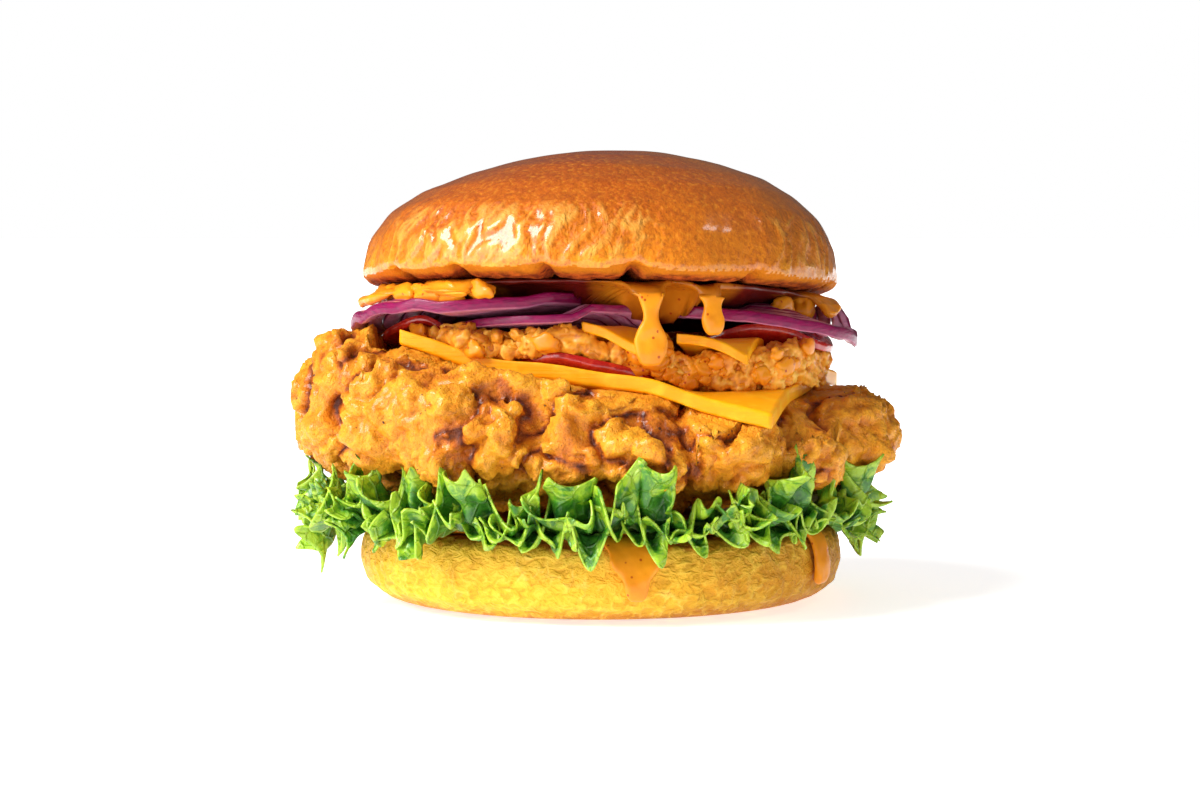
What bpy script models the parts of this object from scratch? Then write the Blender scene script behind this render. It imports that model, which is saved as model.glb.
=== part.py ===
"""A fried chicken burger, built as its separate pieces from the heel of the bun up to the crown.

Units are metres, written as millimetres times MM. +Z is up, the front of the burger faces -Y, and the
origin is the middle of the heel's flat base. Azimuths are degrees from +X, so the front is at -90.
Every piece is laid on the ones below it: the cheese and the fried crisps drape, stiff slices settle.
"""

import math

import bmesh
import bpy
from mathutils import Matrix, Vector, noise
from mathutils.bvhtree import BVHTree

MM = 0.001
GAP = 0.35 * MM  # clearance that touching pieces keep
TOMATO_FADE = 12 * MM  # how far beyond an edge below it a slice of tomato comes down
CRISPS_FADE = 6 * MM
LAYER_SLACK = 0.55 * MM  # air between layers of the filling
FILLET_LEDGE = 0.86  # share of the outline radius up to which the fillet's top carries the filling
FILLET_LEDGE_FALL = 0.3  # slope of the filling beyond that
DRAPE_PROBES = 6  # places tried along each side of a draped triangle
DRAPE_REACH = 1.0 * MM  # how far around a place the pile is felt
SKY = 300 * MM  # height from which rays are cast down on the pile
FAR = 200 * MM  # radius from which rays are cast in on the pile

# Bun
HEEL_RADIUS = 55 * MM
HEEL_HEIGHT = 18 * MM
HEEL_BASE_RADIUS = 37 * MM
HEEL_WIDEST = 9 * MM  # height of the widest line
HEEL_TOP_RADIUS = 50 * MM  # where the cut face turns down into the side
HEEL_SQUARENESS = 0.6  # 1 is a round side, and less is squarer
HEEL_SIDE_STEPS = 6
HEEL_SEGMENTS = 40
CROWN_RADIUS = 54.5 * MM
CROWN_HEIGHT = 31.6 * MM
CROWN_CUT_RADIUS = 50.8 * MM
CROWN_WIDEST = 4.6 * MM  # height of the widest line above the cut face
CROWN_PEAK_SHIFT = 5 * MM
CROWN_BACK_TIP = 5.3  # degrees, front of the crown raised
CROWN_RIGHT_TIP = 1.0  # degrees, right of the crown lowered
CROWN_SEGMENTS = 44
CROWN_DOME_STEPS = 7
RIM_NOTCHES = (-146, -126, -103, -82, -51, -12, 28, 70, 118, 160)
RIM_NOTCH_HEIGHT = 1.6 * MM
BUN_UNEVENNESS = 0.7 * MM

# Fried chicken fillet: azimuth, outline radius, height of the top near the rim, height of the underside
# near the rim, and bluntness of the side (2 is round, more is squarer)
FILLET_STATIONS = (
    (-180, 69.0, 62.5, 23.5, 4.2),
    (-160, 69.5, 63.0, 24.0, 4.4),
    (-145, 69.0, 62.0, 24.0, 4.0),
    (-128, 67.0, 61.5, 24.5, 2.9),
    (-110, 62.5, 60.0, 25.5, 2.6),
    (-90, 61.0, 56.0, 25.5, 2.3),
    (-62, 63.0, 51.5, 25.0, 2.1),
    (-35, 66.0, 52.0, 24.5, 2.2),
    (0, 70.5, 53.0, 24.0, 2.4),
    (50, 62.5, 51.0, 25.0, 2.6),
    (90, 59.0, 51.0, 25.0, 2.6),
    (135, 63.5, 55.5, 25.0, 2.9),
)
FILLET_CENTRE_TOP = 42.0 * MM
FILLET_CENTRE_FOOT = 22.4 * MM
FILLET_UNDERSIDE_BLUNTNESS = 2.3
FILLET_WAIST = 0.42  # height of the widest line, as a share of the way from underside to top
FILLET_SEGMENTS = 56
FILLET_RINGS = 18
FILLET_FOLDS = (-152, -127, -101, -86, -68, -47, -27, -4, 25, 55, 85, 115, 148)
FILLET_FOLD_DEPTH = 5.2 * MM
FILLET_FOLD_WIDTH = 5.5  # degrees
FILLET_LUMPS = ((21 * MM, 4.2 * MM), (10.5 * MM, 2.0 * MM))  # lump width, lump height

# Lettuce: middle azimuth of each leaf, height of its margin, ruffle height and radius of its margin
LEAVES = (
    (-172, 21.0, 9.5, 67.5),
    (-127, 27.0, 10.0, 64.0),
    (-82, 27.0, 10.0, 62.0),
    (-37, 27.0, 10.0, 62.0),
    (8, 19.0, 9.5, 61.5),
    (53, 23.0, 8.5, 61.0),
    (98, 23.0, 8.5, 60.0),
    (143, 23.0, 8.5, 62.0),
)
LEAF_SPAN = 43.2  # degrees
LEAF_THICKNESS = 1.2 * MM
LEAF_BED = 19.9 * MM  # height of the underside of the flat of a leaf, on the heel
LEAF_INNER_RADIUS = 12 * MM
LEAF_BED_RADIUS = 49 * MM
LEAF_COLUMNS = 13
LEAF_ROWS = 3  # rows of the ruffled part
LEAF_RUFFLES = 1.8  # waves along one leaf's margin
LEAF_SWAY = 1.6 * MM  # how far the ruffles swing in and out

# Slices of cheese
# front left corner in plan, side, thickness, turn in degrees, cells along a side, and how far beyond an
# edge below it the slice comes down
CHEESES = {
    "cheese_slice": (-44.0, -31.5, 83.0, 3.4, -14, 10, 8),
    "cheese_piece_left": (-4.0, -38.0, 16.0, 2.2, -20, 3, 20),
    "cheese_piece_right": (16.5, -35.0, 16.0, 2.2, -16, 3, 20),
}

# Round slices of tomato: centre in plan, radius and thickness
TOMATOES = {
    "tomato_slice_front": (-3, -19, 20.5, 2.6),
    "tomato_slice_left": (-34, -9.5, 15.5, 2.0),
    "tomato_slice_right": (33, -5, 20.0, 2.4),
}
# Round slices of onion: centre in plan, radius, thickness, height of the middle, slope to the right,
# slope to the back, and how far the left and right ends droop
ONIONS = {
    "onion_slice_lower": (-9, -19, 22.5, 2.4, 62.4, 0.0, -0.13, 0.3),
    "onion_slice_left": (-25.5, -10.5, 30.5, 3.3, 63.9, 0.057, -0.15, 0.3),
    "onion_slice_right": (33, -12, 24.5, 3.3, 64.2, -0.119, -0.05, 2.0),
    "onion_slice_back": (19, 38.0, 22.0, 2.8, 60.6, -0.0175, -0.093, 0.5),
}
SLICE_SEGMENTS = 20
SLICE_RINGS = (0.45, 0.8, 1.0)
SLICE_BULGE = 0.15  # how far the rim bulges, as a share of the thickness

# Crisp fried onion, heaped between the cheese and the tomato: azimuth, outline radius, heap height
CRISPS_STATIONS = (
    (-180, 37, 1.2),
    (-150, 45, 1.5),
    (-130, 46, 2.6),
    (-112, 42, 4.0),
    (-98, 39, 3.8),
    (-84, 37, 3.0),
    (-64, 38, 5.0),
    (-38, 51, 8.0),
    (-15, 52, 5.5),
    (30, 47, 7.0),
    (90, 44, 9.0),
    (140, 44, 7.0),
)
CRISPS_CENTRE_HEIGHT = 1.2 * MM
CRISPS_SEGMENTS = 36
CRISPS_RINGS = (0.45, 0.75, 0.93, 1.0)
CRISPS_LUMP = 1.3 * MM

# Sauce: azimuth, half width in degrees and length of each drip
SAUCE_THICKNESS = 1.1 * MM
SAUCE_SEGMENTS = 24
DRIP_SWELL = 1.9  # thickness of a drip's end, in sauce thicknesses
DRIP_COLUMNS = (-1.0, -0.5, 0.0, 0.5, 1.0)  # in half widths
DRIP_TIP = 0.45  # width of a drip's last row, as a share of its width
CROWN_SAUCE_RADIUS = 49.0 * MM
CROWN_DRIP_ROWS = (0.12, 0.4, 0.72, 1.0)
CROWN_DRIPS = (
    (-158, 11.0, 5.0 * MM),
    (-133, 10.0, 3.5 * MM),
    (-77.5, 4.8, 17.5 * MM),
    (-61.0, 3.6, 10.5 * MM),
    (-14, 6.0, 6.0 * MM),
)
CROWN_DRIP_RUNS = (6.5 * MM, 2.5 * MM, 0.6 * MM, 0.6 * MM, 5.5 * MM)  # how far each drip runs outward
HEEL_SAUCE_RADIUS = 46.0 * MM
HEEL_DRIPS = (
    (-140, 4.5, 9.0 * MM),
    (-82, 5.5, 16.0 * MM),
    (-29, 3.6, 16.0 * MM),
)


def turn(degrees):
    """Unit vector in plan at an azimuth."""
    return Vector((math.cos(math.radians(degrees)), math.sin(math.radians(degrees)), 0))


def ease(share):
    """Smooth step from 0 to 1."""
    share = min(1.0, max(0.0, share))
    return share * share * (3 - 2 * share)


def apart(one, other):
    """Degrees from one azimuth to another, between -180 and 180."""
    return (other - one + 180) % 360 - 180


def around(stations, azimuth):
    """Values of a table of stations at any azimuth, eased from station to station."""
    for index, station in enumerate(stations):
        following = stations[(index + 1) % len(stations)]
        span = (following[0] - station[0]) % 360
        past = (azimuth - station[0]) % 360
        if past <= span:
            share = ease(past / span)
            return [a + (b - a) * share for a, b in zip(station[1:], following[1:])]
    return stations[0][1:]


def wave(point, width, seed):
    """Smooth noise between about -1 and 1 with features of a width."""
    return noise.noise(point / width + Vector((seed, 2 * seed, 3 * seed))) * 1.4


class Pile:
    """The pieces placed so far, as surfaces for later pieces to lie on."""

    def __init__(self):
        self.trees = []

    def add(self, points, faces):
        self.trees.append(BVHTree.FromPolygons(points, faces))

    def top(self, x, y):
        """Height of the highest surface at a place, or None where there is nothing."""
        heights = [self._hit(tree, Vector((x, y, SKY)), Vector((0, 0, -1))) for tree in self.trees]
        return max((hit.z for hit in heights if hit), default=None)

    def top_near(self, x, y):
        """Height of the highest surface at a place and just around it."""
        steps = ((0, 0), (1, 0), (-1, 0), (0, 1), (0, -1))
        tops = [self.top(x + DRAPE_REACH * across, y + DRAPE_REACH * along) for across, along in steps]
        return max((top for top in tops if top is not None), default=None)

    def side(self, azimuth, height):
        """Radius of the outermost surface at an azimuth and height, or zero where there is nothing."""
        away = turn(azimuth)
        start = away * FAR + Vector((0, 0, height))
        hits = [self._hit(tree, start, -away) for tree in self.trees]
        return max((hit.xy.length for hit in hits if hit and hit.xy.dot(away.xy) > 0), default=0.0)

    def widest(self, azimuth, low, high, spread):
        """Largest radius of the pile between two heights, a few degrees to each side."""
        return max(
            self.side(azimuth + spread * swing, low + (high - low) * step / 4)
            for swing in (-1.0, -0.75, -0.5, -0.25, 0.0, 0.25, 0.5, 0.75, 1.0)
            for step in range(5)
        )

    @staticmethod
    def _hit(tree, start, direction):
        return tree.ray_cast(start, direction)[0]


def ring_body(top, rings, foot):
    """Triangles of a body given by its top pole, its rings from the top down and its foot pole."""
    count = len(rings[0])
    points = [top] + [point for ring in rings for point in ring] + [foot]
    last = len(points) - 1
    faces = []
    for here in range(count):
        onward = (here + 1) % count
        faces.append((0, 1 + here, 1 + onward))
        faces.append((last, last - count + onward, last - count + here))
        for ring in range(len(rings) - 1):
            upper = 1 + ring * count
            lower = upper + count
            faces.append((upper + here, lower + here, lower + onward))
            faces.append((upper + here, lower + onward, upper + onward))
    return points, faces


def grid_faces(rows, columns):
    """Triangles of a grid of points, facing up when rows run to the right and columns to the back."""
    faces = []
    for row in range(rows - 1):
        for column in range(columns - 1):
            a = row * columns + column
            b = a + columns
            faces.append((a, b, b + 1))
            faces.append((a, b + 1, a + 1))
    return faces


def grid_body(upper, lower, rows, columns):
    """Triangles of a sheet given by the grids of its two sides, closed around its border."""
    sheet = grid_faces(rows, columns)
    shift = rows * columns
    faces = list(sheet)
    faces += [(a + shift, c + shift, b + shift) for a, b, c in sheet]
    border = [column for column in range(columns)]
    border += [row * columns + columns - 1 for row in range(1, rows)]
    border += [(rows - 1) * columns + column for column in range(columns - 2, -1, -1)]
    border += [row * columns for row in range(rows - 2, 0, -1)]
    for here, onward in zip(border, border[1:] + border[:1]):
        faces.append((here, onward, onward + shift))
        faces.append((here, onward + shift, here + shift))
    return list(upper) + list(lower), faces


def sample_shares(steps):
    """Shares of a triangle's three corners for an even spread of places in it."""
    return [
        (i / steps, j / steps, (steps - i - j) / steps)
        for i in range(steps + 1)
        for j in range(steps + 1 - i)
    ]


def drape(pile, plan, faces, planned):
    """Heights of an underside: the planned ones, raised wherever the pile would come through."""
    heights = list(planned)
    for face in faces:
        for shares in sample_shares(DRAPE_PROBES):
            x = sum(share * plan[corner].x for share, corner in zip(shares, face))
            y = sum(share * plan[corner].y for share, corner in zip(shares, face))
            top = pile.top_near(x, y)
            height = sum(share * heights[corner] for share, corner in zip(shares, face))
            if top is not None and height < top + GAP:
                weight = sum(share * share for share in shares)
                for share, corner in zip(shares, face):
                    heights[corner] += (top + GAP - height) * share / weight
    return heights


class Filling:
    """The layers over the fillet: where each lies, how thick it is and the level its underside takes."""

    def __init__(self):
        self.layers = []

    def add(self, reach, thickness):
        """reach gives how far outside the layer a place is, thickness how thick the layer is there."""
        self.layers.append((reach, thickness))

    def level(self, place, fade):
        """Height of the next layer's underside: the fillet's top and all layers so far, softened."""
        height = fillet_top(place)
        for reach, thickness in self.layers:
            here = ease(1 - reach(place) / fade)
            height += here * (thickness(place) + LAYER_SLACK)
        return height


def heel_path(azimuth, clearance):
    """The heel's outline at an azimuth from the cut face to the base, as radius and height."""
    uneven = BUN_UNEVENNESS * wave(turn(azimuth) * HEEL_RADIUS, 45 * MM, 3)
    outer = HEEL_RADIUS + uneven + clearance
    path = [(HEEL_TOP_RADIUS * 0.55, HEEL_HEIGHT + clearance)]
    for step in range(HEEL_SIDE_STEPS + 1):
        angle = math.pi / 2 * (1 - 2 * step / HEEL_SIDE_STEPS)
        inner = HEEL_TOP_RADIUS if angle > 0 else HEEL_BASE_RADIUS
        reach = HEEL_HEIGHT + clearance - HEEL_WIDEST if angle > 0 else HEEL_WIDEST
        radius = inner + (outer - inner) * math.cos(angle) ** HEEL_SQUARENESS
        path.append((radius, HEEL_WIDEST + reach * math.sin(angle)))
    return path


def heel():
    """Lower half of the bun, with a flat cut face and a flat base to rest on."""
    paths = [heel_path(360 * step / HEEL_SEGMENTS, 0.0) for step in range(HEEL_SEGMENTS)]
    rings = []
    for index in range(len(paths[0])):
        ring = []
        for step, path in enumerate(paths):
            radius, height = path[index]
            ring.append(turn(360 * step / HEEL_SEGMENTS) * radius + Vector((0, 0, height)))
        rings.append(ring)
    return ring_body(Vector((0, 0, HEEL_HEIGHT)), rings, Vector((0, 0, 0)))


def fillet_section(azimuth, across, rise):
    """Outline radius and height of the smooth fillet at an azimuth, for shares across and up its side."""
    radius, top, foot, _ = around(FILLET_STATIONS, azimuth)
    radius *= MM
    top *= MM
    foot *= MM
    waist = foot + FILLET_WAIST * (top - foot)
    outward = ease((across - 0.42) / 0.42)
    level = FILLET_CENTRE_TOP + (top - FILLET_CENTRE_TOP) * outward
    if rise < 0:
        level = 2 * waist - (FILLET_CENTRE_FOOT + (foot - FILLET_CENTRE_FOOT) * outward)
    return radius, waist + (level - waist) * rise


def fillet_top(place):
    """Height that the top of the fillet gives to what lies on it, also a little past its edge."""
    azimuth = math.degrees(math.atan2(place.y, place.x))
    radius, _, _, blunt = around(FILLET_STATIONS, azimuth)
    across = place.xy.length / (radius * MM)
    beyond = max(0.0, across - FILLET_LEDGE) * radius * MM
    across = min(across, FILLET_LEDGE)
    rise = (1 - across**blunt) ** (1 / blunt)
    _, height = fillet_section(azimuth, across, rise)
    return height + GAP - beyond * FILLET_LEDGE_FALL


def fillet_point(azimuth, share):
    """A place on the fillet's crust. share runs from 0 at the top pole to 1 at the foot pole."""
    blunt = around(FILLET_STATIONS, azimuth)[3] if share < 0.5 else FILLET_UNDERSIDE_BLUNTNESS
    angle = math.pi * (0.5 - share)
    across = math.cos(angle) ** (2 / blunt)
    rise = math.copysign(abs(math.sin(angle)) ** (2 / blunt), angle)
    radius, height = fillet_section(azimuth, across, rise)
    fold = 0.0
    for index, middle in enumerate(FILLET_FOLDS):
        slant = 5 * rise * (1 if index % 2 else -1)
        fold += math.exp(-((apart(middle + slant, azimuth) / FILLET_FOLD_WIDTH) ** 2))
    groove = FILLET_FOLD_DEPTH * min(fold, 1.0) * across**5
    point = turn(azimuth) * (radius * across - groove) + Vector((0, 0, height))
    facing = turn(azimuth) * across**2 + Vector((0, 0, rise * abs(rise)))
    facing.normalize()
    for seed, (width, tall) in enumerate(FILLET_LUMPS):
        lump = abs(wave(point, width, 11 + seed)) * 2 - 0.7
        point += facing * tall * lump * across**3
    point.z = max(point.z, FILLET_CENTRE_FOOT)
    return point


def fillet():
    """Fried chicken fillet with puffed lobes divided by folds."""
    rings = []
    for ring in range(1, FILLET_RINGS + 1):
        share = ring / (FILLET_RINGS + 1)
        azimuths = [360 * step / FILLET_SEGMENTS for step in range(FILLET_SEGMENTS)]
        rings.append([fillet_point(azimuth, share) for azimuth in azimuths])
    top = Vector((0, 0, FILLET_CENTRE_TOP))
    return ring_body(top, rings, Vector((0, 0, FILLET_CENTRE_FOOT)))


def leaf(pile, middle, margin, ruffle, radius):
    """One lettuce leaf: flat between heel and fillet, ruffled where it comes out past them."""
    rows = LEAF_ROWS + 2
    middles = []
    for column in range(LEAF_COLUMNS):
        share = column / (LEAF_COLUMNS - 1)
        azimuth = middle + LEAF_SPAN * (share - 0.5)
        angle = 2 * math.pi * LEAF_RUFFLES * share + math.radians(middle * 3)
        edge = 0.4 + 0.6 * math.sin(math.pi * share) ** 0.6
        swing = math.tanh(1.4 * math.sin(angle) + 0.3 * math.sin(1.7 * angle))
        tall = (margin + ruffle * edge * swing) * MM
        bed = LEAF_BED + LEAF_THICKNESS / 2
        low, high = min(tall, bed), max(tall, bed)
        clear = GAP + LEAF_THICKNESS * 1.3
        outline = pile.widest(azimuth, low - 1.5 * MM, high + 1.5 * MM, 6.0)
        outer = max(outline + clear, radius * MM) + LEAF_SWAY * (1 + math.cos(angle)) / 2
        line = [turn(azimuth) * LEAF_INNER_RADIUS + Vector((0, 0, bed))]
        line.append(turn(azimuth) * LEAF_BED_RADIUS + Vector((0, 0, bed)))
        for row in range(1, LEAF_ROWS + 1):
            part = row / LEAF_ROWS
            height = bed + (tall - bed) * part**1.6
            out = LEAF_BED_RADIUS + (outer - LEAF_BED_RADIUS) * part**0.55
            near = pile.widest(azimuth, min(height, bed) - MM, max(height, bed) + MM, 6.0)
            if abs(height - bed) > 0.5 * MM:
                out = max(out, near + clear)
            line.append(turn(azimuth) * out + Vector((0, 0, height)))
        middles.append(line)
    upper, lower = [], []
    for row in range(rows):
        for column in range(LEAF_COLUMNS):
            ahead = middles[min(column + 1, LEAF_COLUMNS - 1)][row]
            behind = middles[max(column - 1, 0)][row]
            out = middles[column][min(row + 1, rows - 1)]
            back = middles[column][max(row - 1, 0)]
            facing = (out - back).cross(ahead - behind).normalized() * LEAF_THICKNESS / 2
            upper.append(middles[column][row] + facing)
            lower.append(middles[column][row] - facing)
    return grid_body(upper, lower, rows, LEAF_COLUMNS)


def cheese(pile, filling, x, y, side, thickness, degrees, cells, fade):
    """A square slice of cheese, draped over the pile."""
    count = cells + 1
    rightward = turn(degrees)
    backward = turn(degrees + 90)
    corner = Vector((x, y, 0)) * MM
    step = side * MM / cells
    plan = []
    for row in range(count):
        for column in range(count):
            plan.append(corner + rightward * step * row + backward * step * column)
    planned = [filling.level(place, fade * MM) for place in plan]
    heights = drape(pile, plan, grid_faces(count, count), planned)
    lower = [Vector((place.x, place.y, height)) for place, height in zip(plan, heights)]
    upper = [point + Vector((0, 0, thickness * MM)) for point in lower]
    middle = corner + (rightward + backward) * side * MM / 2

    def reach(place):
        offset = place - middle
        return max(abs(offset.dot(rightward)), abs(offset.dot(backward))) - side * MM / 2

    filling.add(reach, lambda place: thickness * MM)
    return grid_body(upper, lower, count, count)


def disc_plan(outline, shares, segments):
    """Places of a disc's centre and rings in plan, and its triangles. outline gives radius by azimuth."""
    plan = [Vector((0, 0, 0))]
    for share in shares:
        for step in range(segments):
            azimuth = 360 * step / segments
            plan.append(turn(azimuth) * outline(azimuth) * share)
    faces = []
    for here in range(segments):
        onward = (here + 1) % segments
        faces.append((0, 1 + here, 1 + onward))
        for ring in range(len(shares) - 1):
            inner = 1 + ring * segments
            outer = inner + segments
            faces.append((inner + here, outer + here, outer + onward))
            faces.append((inner + here, outer + onward, inner + onward))
    return plan, faces


def disc_body(lower, upper, rim, faces):
    """Triangles of a draped disc: its two sides and the rings of its rim from the top down."""
    segments = len(rim[0])
    points = upper + [point for ring in rim for point in ring] + lower
    shift = len(points) - len(lower)
    body = list(faces) + [(a + shift, c + shift, b + shift) for a, b, c in faces]
    starts = [len(upper) - segments]
    starts += [len(upper) + ring * segments for ring in range(len(rim))]
    starts.append(len(points) - segments)
    for above, below in zip(starts, starts[1:]):
        for here in range(segments):
            onward = (here + 1) % segments
            body.append((above + here, below + here, below + onward))
            body.append((above + here, below + onward, above + onward))
    return points, body


def round_slice(pile, filling, planned, x, y, radius, thickness):
    """A round slice on the pile. planned gives the height meant for its underside at a place."""
    centre = Vector((x, y, 0)) * MM

    def outline(azimuth):
        return radius * MM * (1 + 0.02 * wave(turn(azimuth) * radius * MM + centre, 30 * MM, 7))

    plan, faces = disc_plan(outline, SLICE_RINGS, SLICE_SEGMENTS)
    plan = [point + centre for point in plan]
    heights = drape(pile, plan, faces, [planned(place) for place in plan])
    lower = [Vector((place.x, place.y, height)) for place, height in zip(plan, heights)]
    upper = [point + Vector((0, 0, thickness * MM)) for point in lower]
    rim = []
    for low in lower[-SLICE_SEGMENTS:]:
        out = (low - centre).xy.normalized() * thickness * MM * SLICE_BULGE
        rim.append(low + Vector((out.x, out.y, thickness * MM * 0.5)))
    filling.add(lambda place: (place - centre).length - radius * MM, lambda place: thickness * MM)
    return disc_body(lower, upper, [rim], faces)


def tomato(pile, filling, *shape):
    """A limp slice of tomato that follows the layers below it."""
    return round_slice(pile, filling, lambda place: filling.level(place, TOMATO_FADE), *shape)


def onion(pile, filling, x, y, radius, thickness, middle, right, back, droop):
    """A stiff slice of onion at its own slope, its ends a little bent down."""

    def planned(place):
        across = place.x - x * MM
        along = place.y - y * MM
        bend = droop * MM * (across / (radius * MM)) ** 2
        return (middle - thickness / 2) * MM + right * across + back * along - bend

    return round_slice(pile, filling, planned, x, y, radius, thickness)


def crisps_reach(azimuth):
    """Radius of the heap of crisp onion at an azimuth."""
    ragged = 1 + 0.05 * wave(turn(azimuth) * 45 * MM, 9 * MM, 5)
    return around(CRISPS_STATIONS, azimuth)[0] * MM * ragged


def crisps_height(place):
    """Height of the heap of crisp onion above what it lies on."""
    azimuth = math.degrees(math.atan2(place.y, place.x))
    share = place.xy.length / crisps_reach(azimuth)
    full = around(CRISPS_STATIONS, azimuth)[1] * MM
    heap = CRISPS_CENTRE_HEIGHT + (full - CRISPS_CENTRE_HEIGHT) * ease((share - 0.6) / 0.3)
    heap += CRISPS_LUMP * wave(place, 11 * MM, 6) * ease((share - 0.5) / 0.3)
    return max(CRISPS_CENTRE_HEIGHT, heap)


def crisps(pile, filling):
    """The heap of crisp fried onion, out to its uneven outline."""
    plan, faces = disc_plan(crisps_reach, CRISPS_RINGS, CRISPS_SEGMENTS)
    heights = drape(pile, plan, faces, [filling.level(place, CRISPS_FADE) for place in plan])
    lower = [Vector((place.x, place.y, height)) for place, height in zip(plan, heights)]
    upper = []
    for low, place in zip(lower, plan):
        upper.append(low + Vector((0, 0, crisps_height(place))))
    rim = []
    for low, high in zip(lower[-CRISPS_SEGMENTS:], upper[-CRISPS_SEGMENTS:]):
        rim.append(low + (high - low) * 0.5)

    def reach(place):
        return place.xy.length - crisps_reach(math.degrees(math.atan2(place.y, place.x)))

    filling.add(reach, crisps_height)
    return disc_body(lower, upper, [rim], faces)


def sauce_pair(azimuth, radius, height, half, along):
    """Outer and inner place of a layer whose middle is at a radius and height and runs a given way."""
    out = Vector(along).normalized()
    lift = Vector((0, 0, height))
    outer = turn(azimuth) * (radius - out.y * half) + lift + Vector((0, 0, out.x * half))
    inner = turn(azimuth) * (radius + out.y * half) + lift - Vector((0, 0, out.x * half))
    return outer, inner


def sauce_body(drips, disc, tongue):
    """A thin layer of sauce: a disc with a tongue at each drip. disc and tongue give pairs of places."""
    azimuths = [middle + half * off for middle, half, _ in drips for off in DRIP_COLUMNS]
    azimuths = [azimuth % 360 for azimuth in azimuths]
    for step in range(SAUCE_SEGMENTS):
        azimuth = 360 * step / SAUCE_SEGMENTS
        if all(abs(apart(azimuth, other)) > 5 for other in azimuths):
            azimuths.append(azimuth)
    azimuths.sort()
    count = len(azimuths)
    pairs = [disc(0.0, 0.0)]
    for share in (0.55, 1.0):
        pairs += [disc(azimuth, share) for azimuth in azimuths]
    faces = []
    for here in range(count):
        onward = (here + 1) % count
        faces.append((0, 1 + here, 1 + onward))
        faces.append((1 + here, 1 + count + here, 1 + count + onward))
        faces.append((1 + here, 1 + count + onward, 1 + onward))
    for middle, half, length in drips:
        first = [azimuths.index((middle + half * off) % 360) + 1 + count for off in DRIP_COLUMNS]
        for share, row in tongue(middle, half, length):
            second = list(range(len(pairs), len(pairs) + len(DRIP_COLUMNS)))
            pairs += row
            for column in range(len(DRIP_COLUMNS) - 1):
                a, b = first[column], first[column + 1]
                c, d = second[column], second[column + 1]
                faces.append((a, c, d))
                faces.append((a, d, b))
            first = second
    return thicken(pairs, faces)


def thicken(pairs, faces):
    """Triangles of a layer given by pairs of outer and inner places and the triangles of its outer side."""
    shift = len(pairs)
    edges = {(face[k], face[(k + 1) % 3]) for face in faces for k in range(3)}
    body = list(faces) + [(a + shift, c + shift, b + shift) for a, b, c in faces]
    for here, onward in sorted(edges):
        if (onward, here) not in edges:
            body.append((onward, here, here + shift))
            body.append((onward, here + shift, onward + shift))
    return [pair[0] for pair in pairs] + [pair[1] for pair in pairs], body


def drip_width(share):
    """Width of a drip along its length, as a share of its full width, necked and then swollen."""
    neck = 1 - 0.25 * math.sin(math.pi * min(1.0, share / 0.7))
    return neck if share < 0.9 else DRIP_TIP


def heel_sauce():
    """Sauce spread on the heel's cut face, with drips down its side."""
    half = SAUCE_THICKNESS / 2

    def disc(azimuth, share):
        level = heel_path(azimuth, GAP + half)[0][1]
        return sauce_pair(azimuth, HEEL_SAUCE_RADIUS * share, level, half, (1, 0))

    def tongue(middle, spread, length):
        path = heel_path(middle, 1.3 * GAP + half)[1:]
        lengths = [0.0]
        for one, other in zip(path, path[1:]):
            lengths.append(lengths[-1] + math.hypot(other[0] - one[0], other[1] - one[1]))
        stops = [place for place in lengths if place < length - 1.5 * MM] + [length]
        rows = []
        for stop in stops:
            share = stop / length
            swollen = half * (1 + (DRIP_SWELL - 1) * share)
            row = []
            for off in DRIP_COLUMNS:
                azimuth = middle + spread * off * drip_width(share)
                line = heel_path(azimuth, 1.3 * GAP + swollen)[1:]
                at = max(k for k, place in enumerate(lengths[:-1]) if place <= stop)
                part = (stop - lengths[at]) / (lengths[at + 1] - lengths[at])
                here = [line[at][k] + (line[at + 1][k] - line[at][k]) * part for k in (0, 1)]
                back = line[max(at - 1, 0)]
                along = (line[at + 1][0] - back[0], line[at + 1][1] - back[1])
                thick = swollen * (1.0 if abs(off) < 0.9 else 0.8)
                row.append(sauce_pair(azimuth, here[0], here[1], thick, along))
            rows.append((share, row))
        return rows

    return sauce_body(HEEL_DRIPS, disc, tongue)


def crown_frame(height):
    """Placement of the crown: its cut face tipped back and a little to the right."""
    tip = Matrix.Rotation(-math.radians(CROWN_BACK_TIP), 4, "X")
    tip = tip @ Matrix.Rotation(math.radians(CROWN_RIGHT_TIP), 4, "Y")
    lean = tip.to_3x3() @ Vector((0, 0, 1))
    return Matrix.Translation((0, 0, height)), tip, lean


def crown_height(pile):
    """Height of the middle of the cut face when the crown rests on the pile, over its sauce."""
    _, _, lean = crown_frame(0)
    rest = 0.0
    for ring in range(13):
        for step in range(72):
            place = turn(step * 5) * CROWN_CUT_RADIUS * ring / 12
            top = pile.top(place.x, place.y)
            if top is not None:
                rest = max(rest, top + (lean.x * place.x + lean.y * place.y) / lean.z)
    return rest + SAUCE_THICKNESS + 3 * GAP


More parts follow.
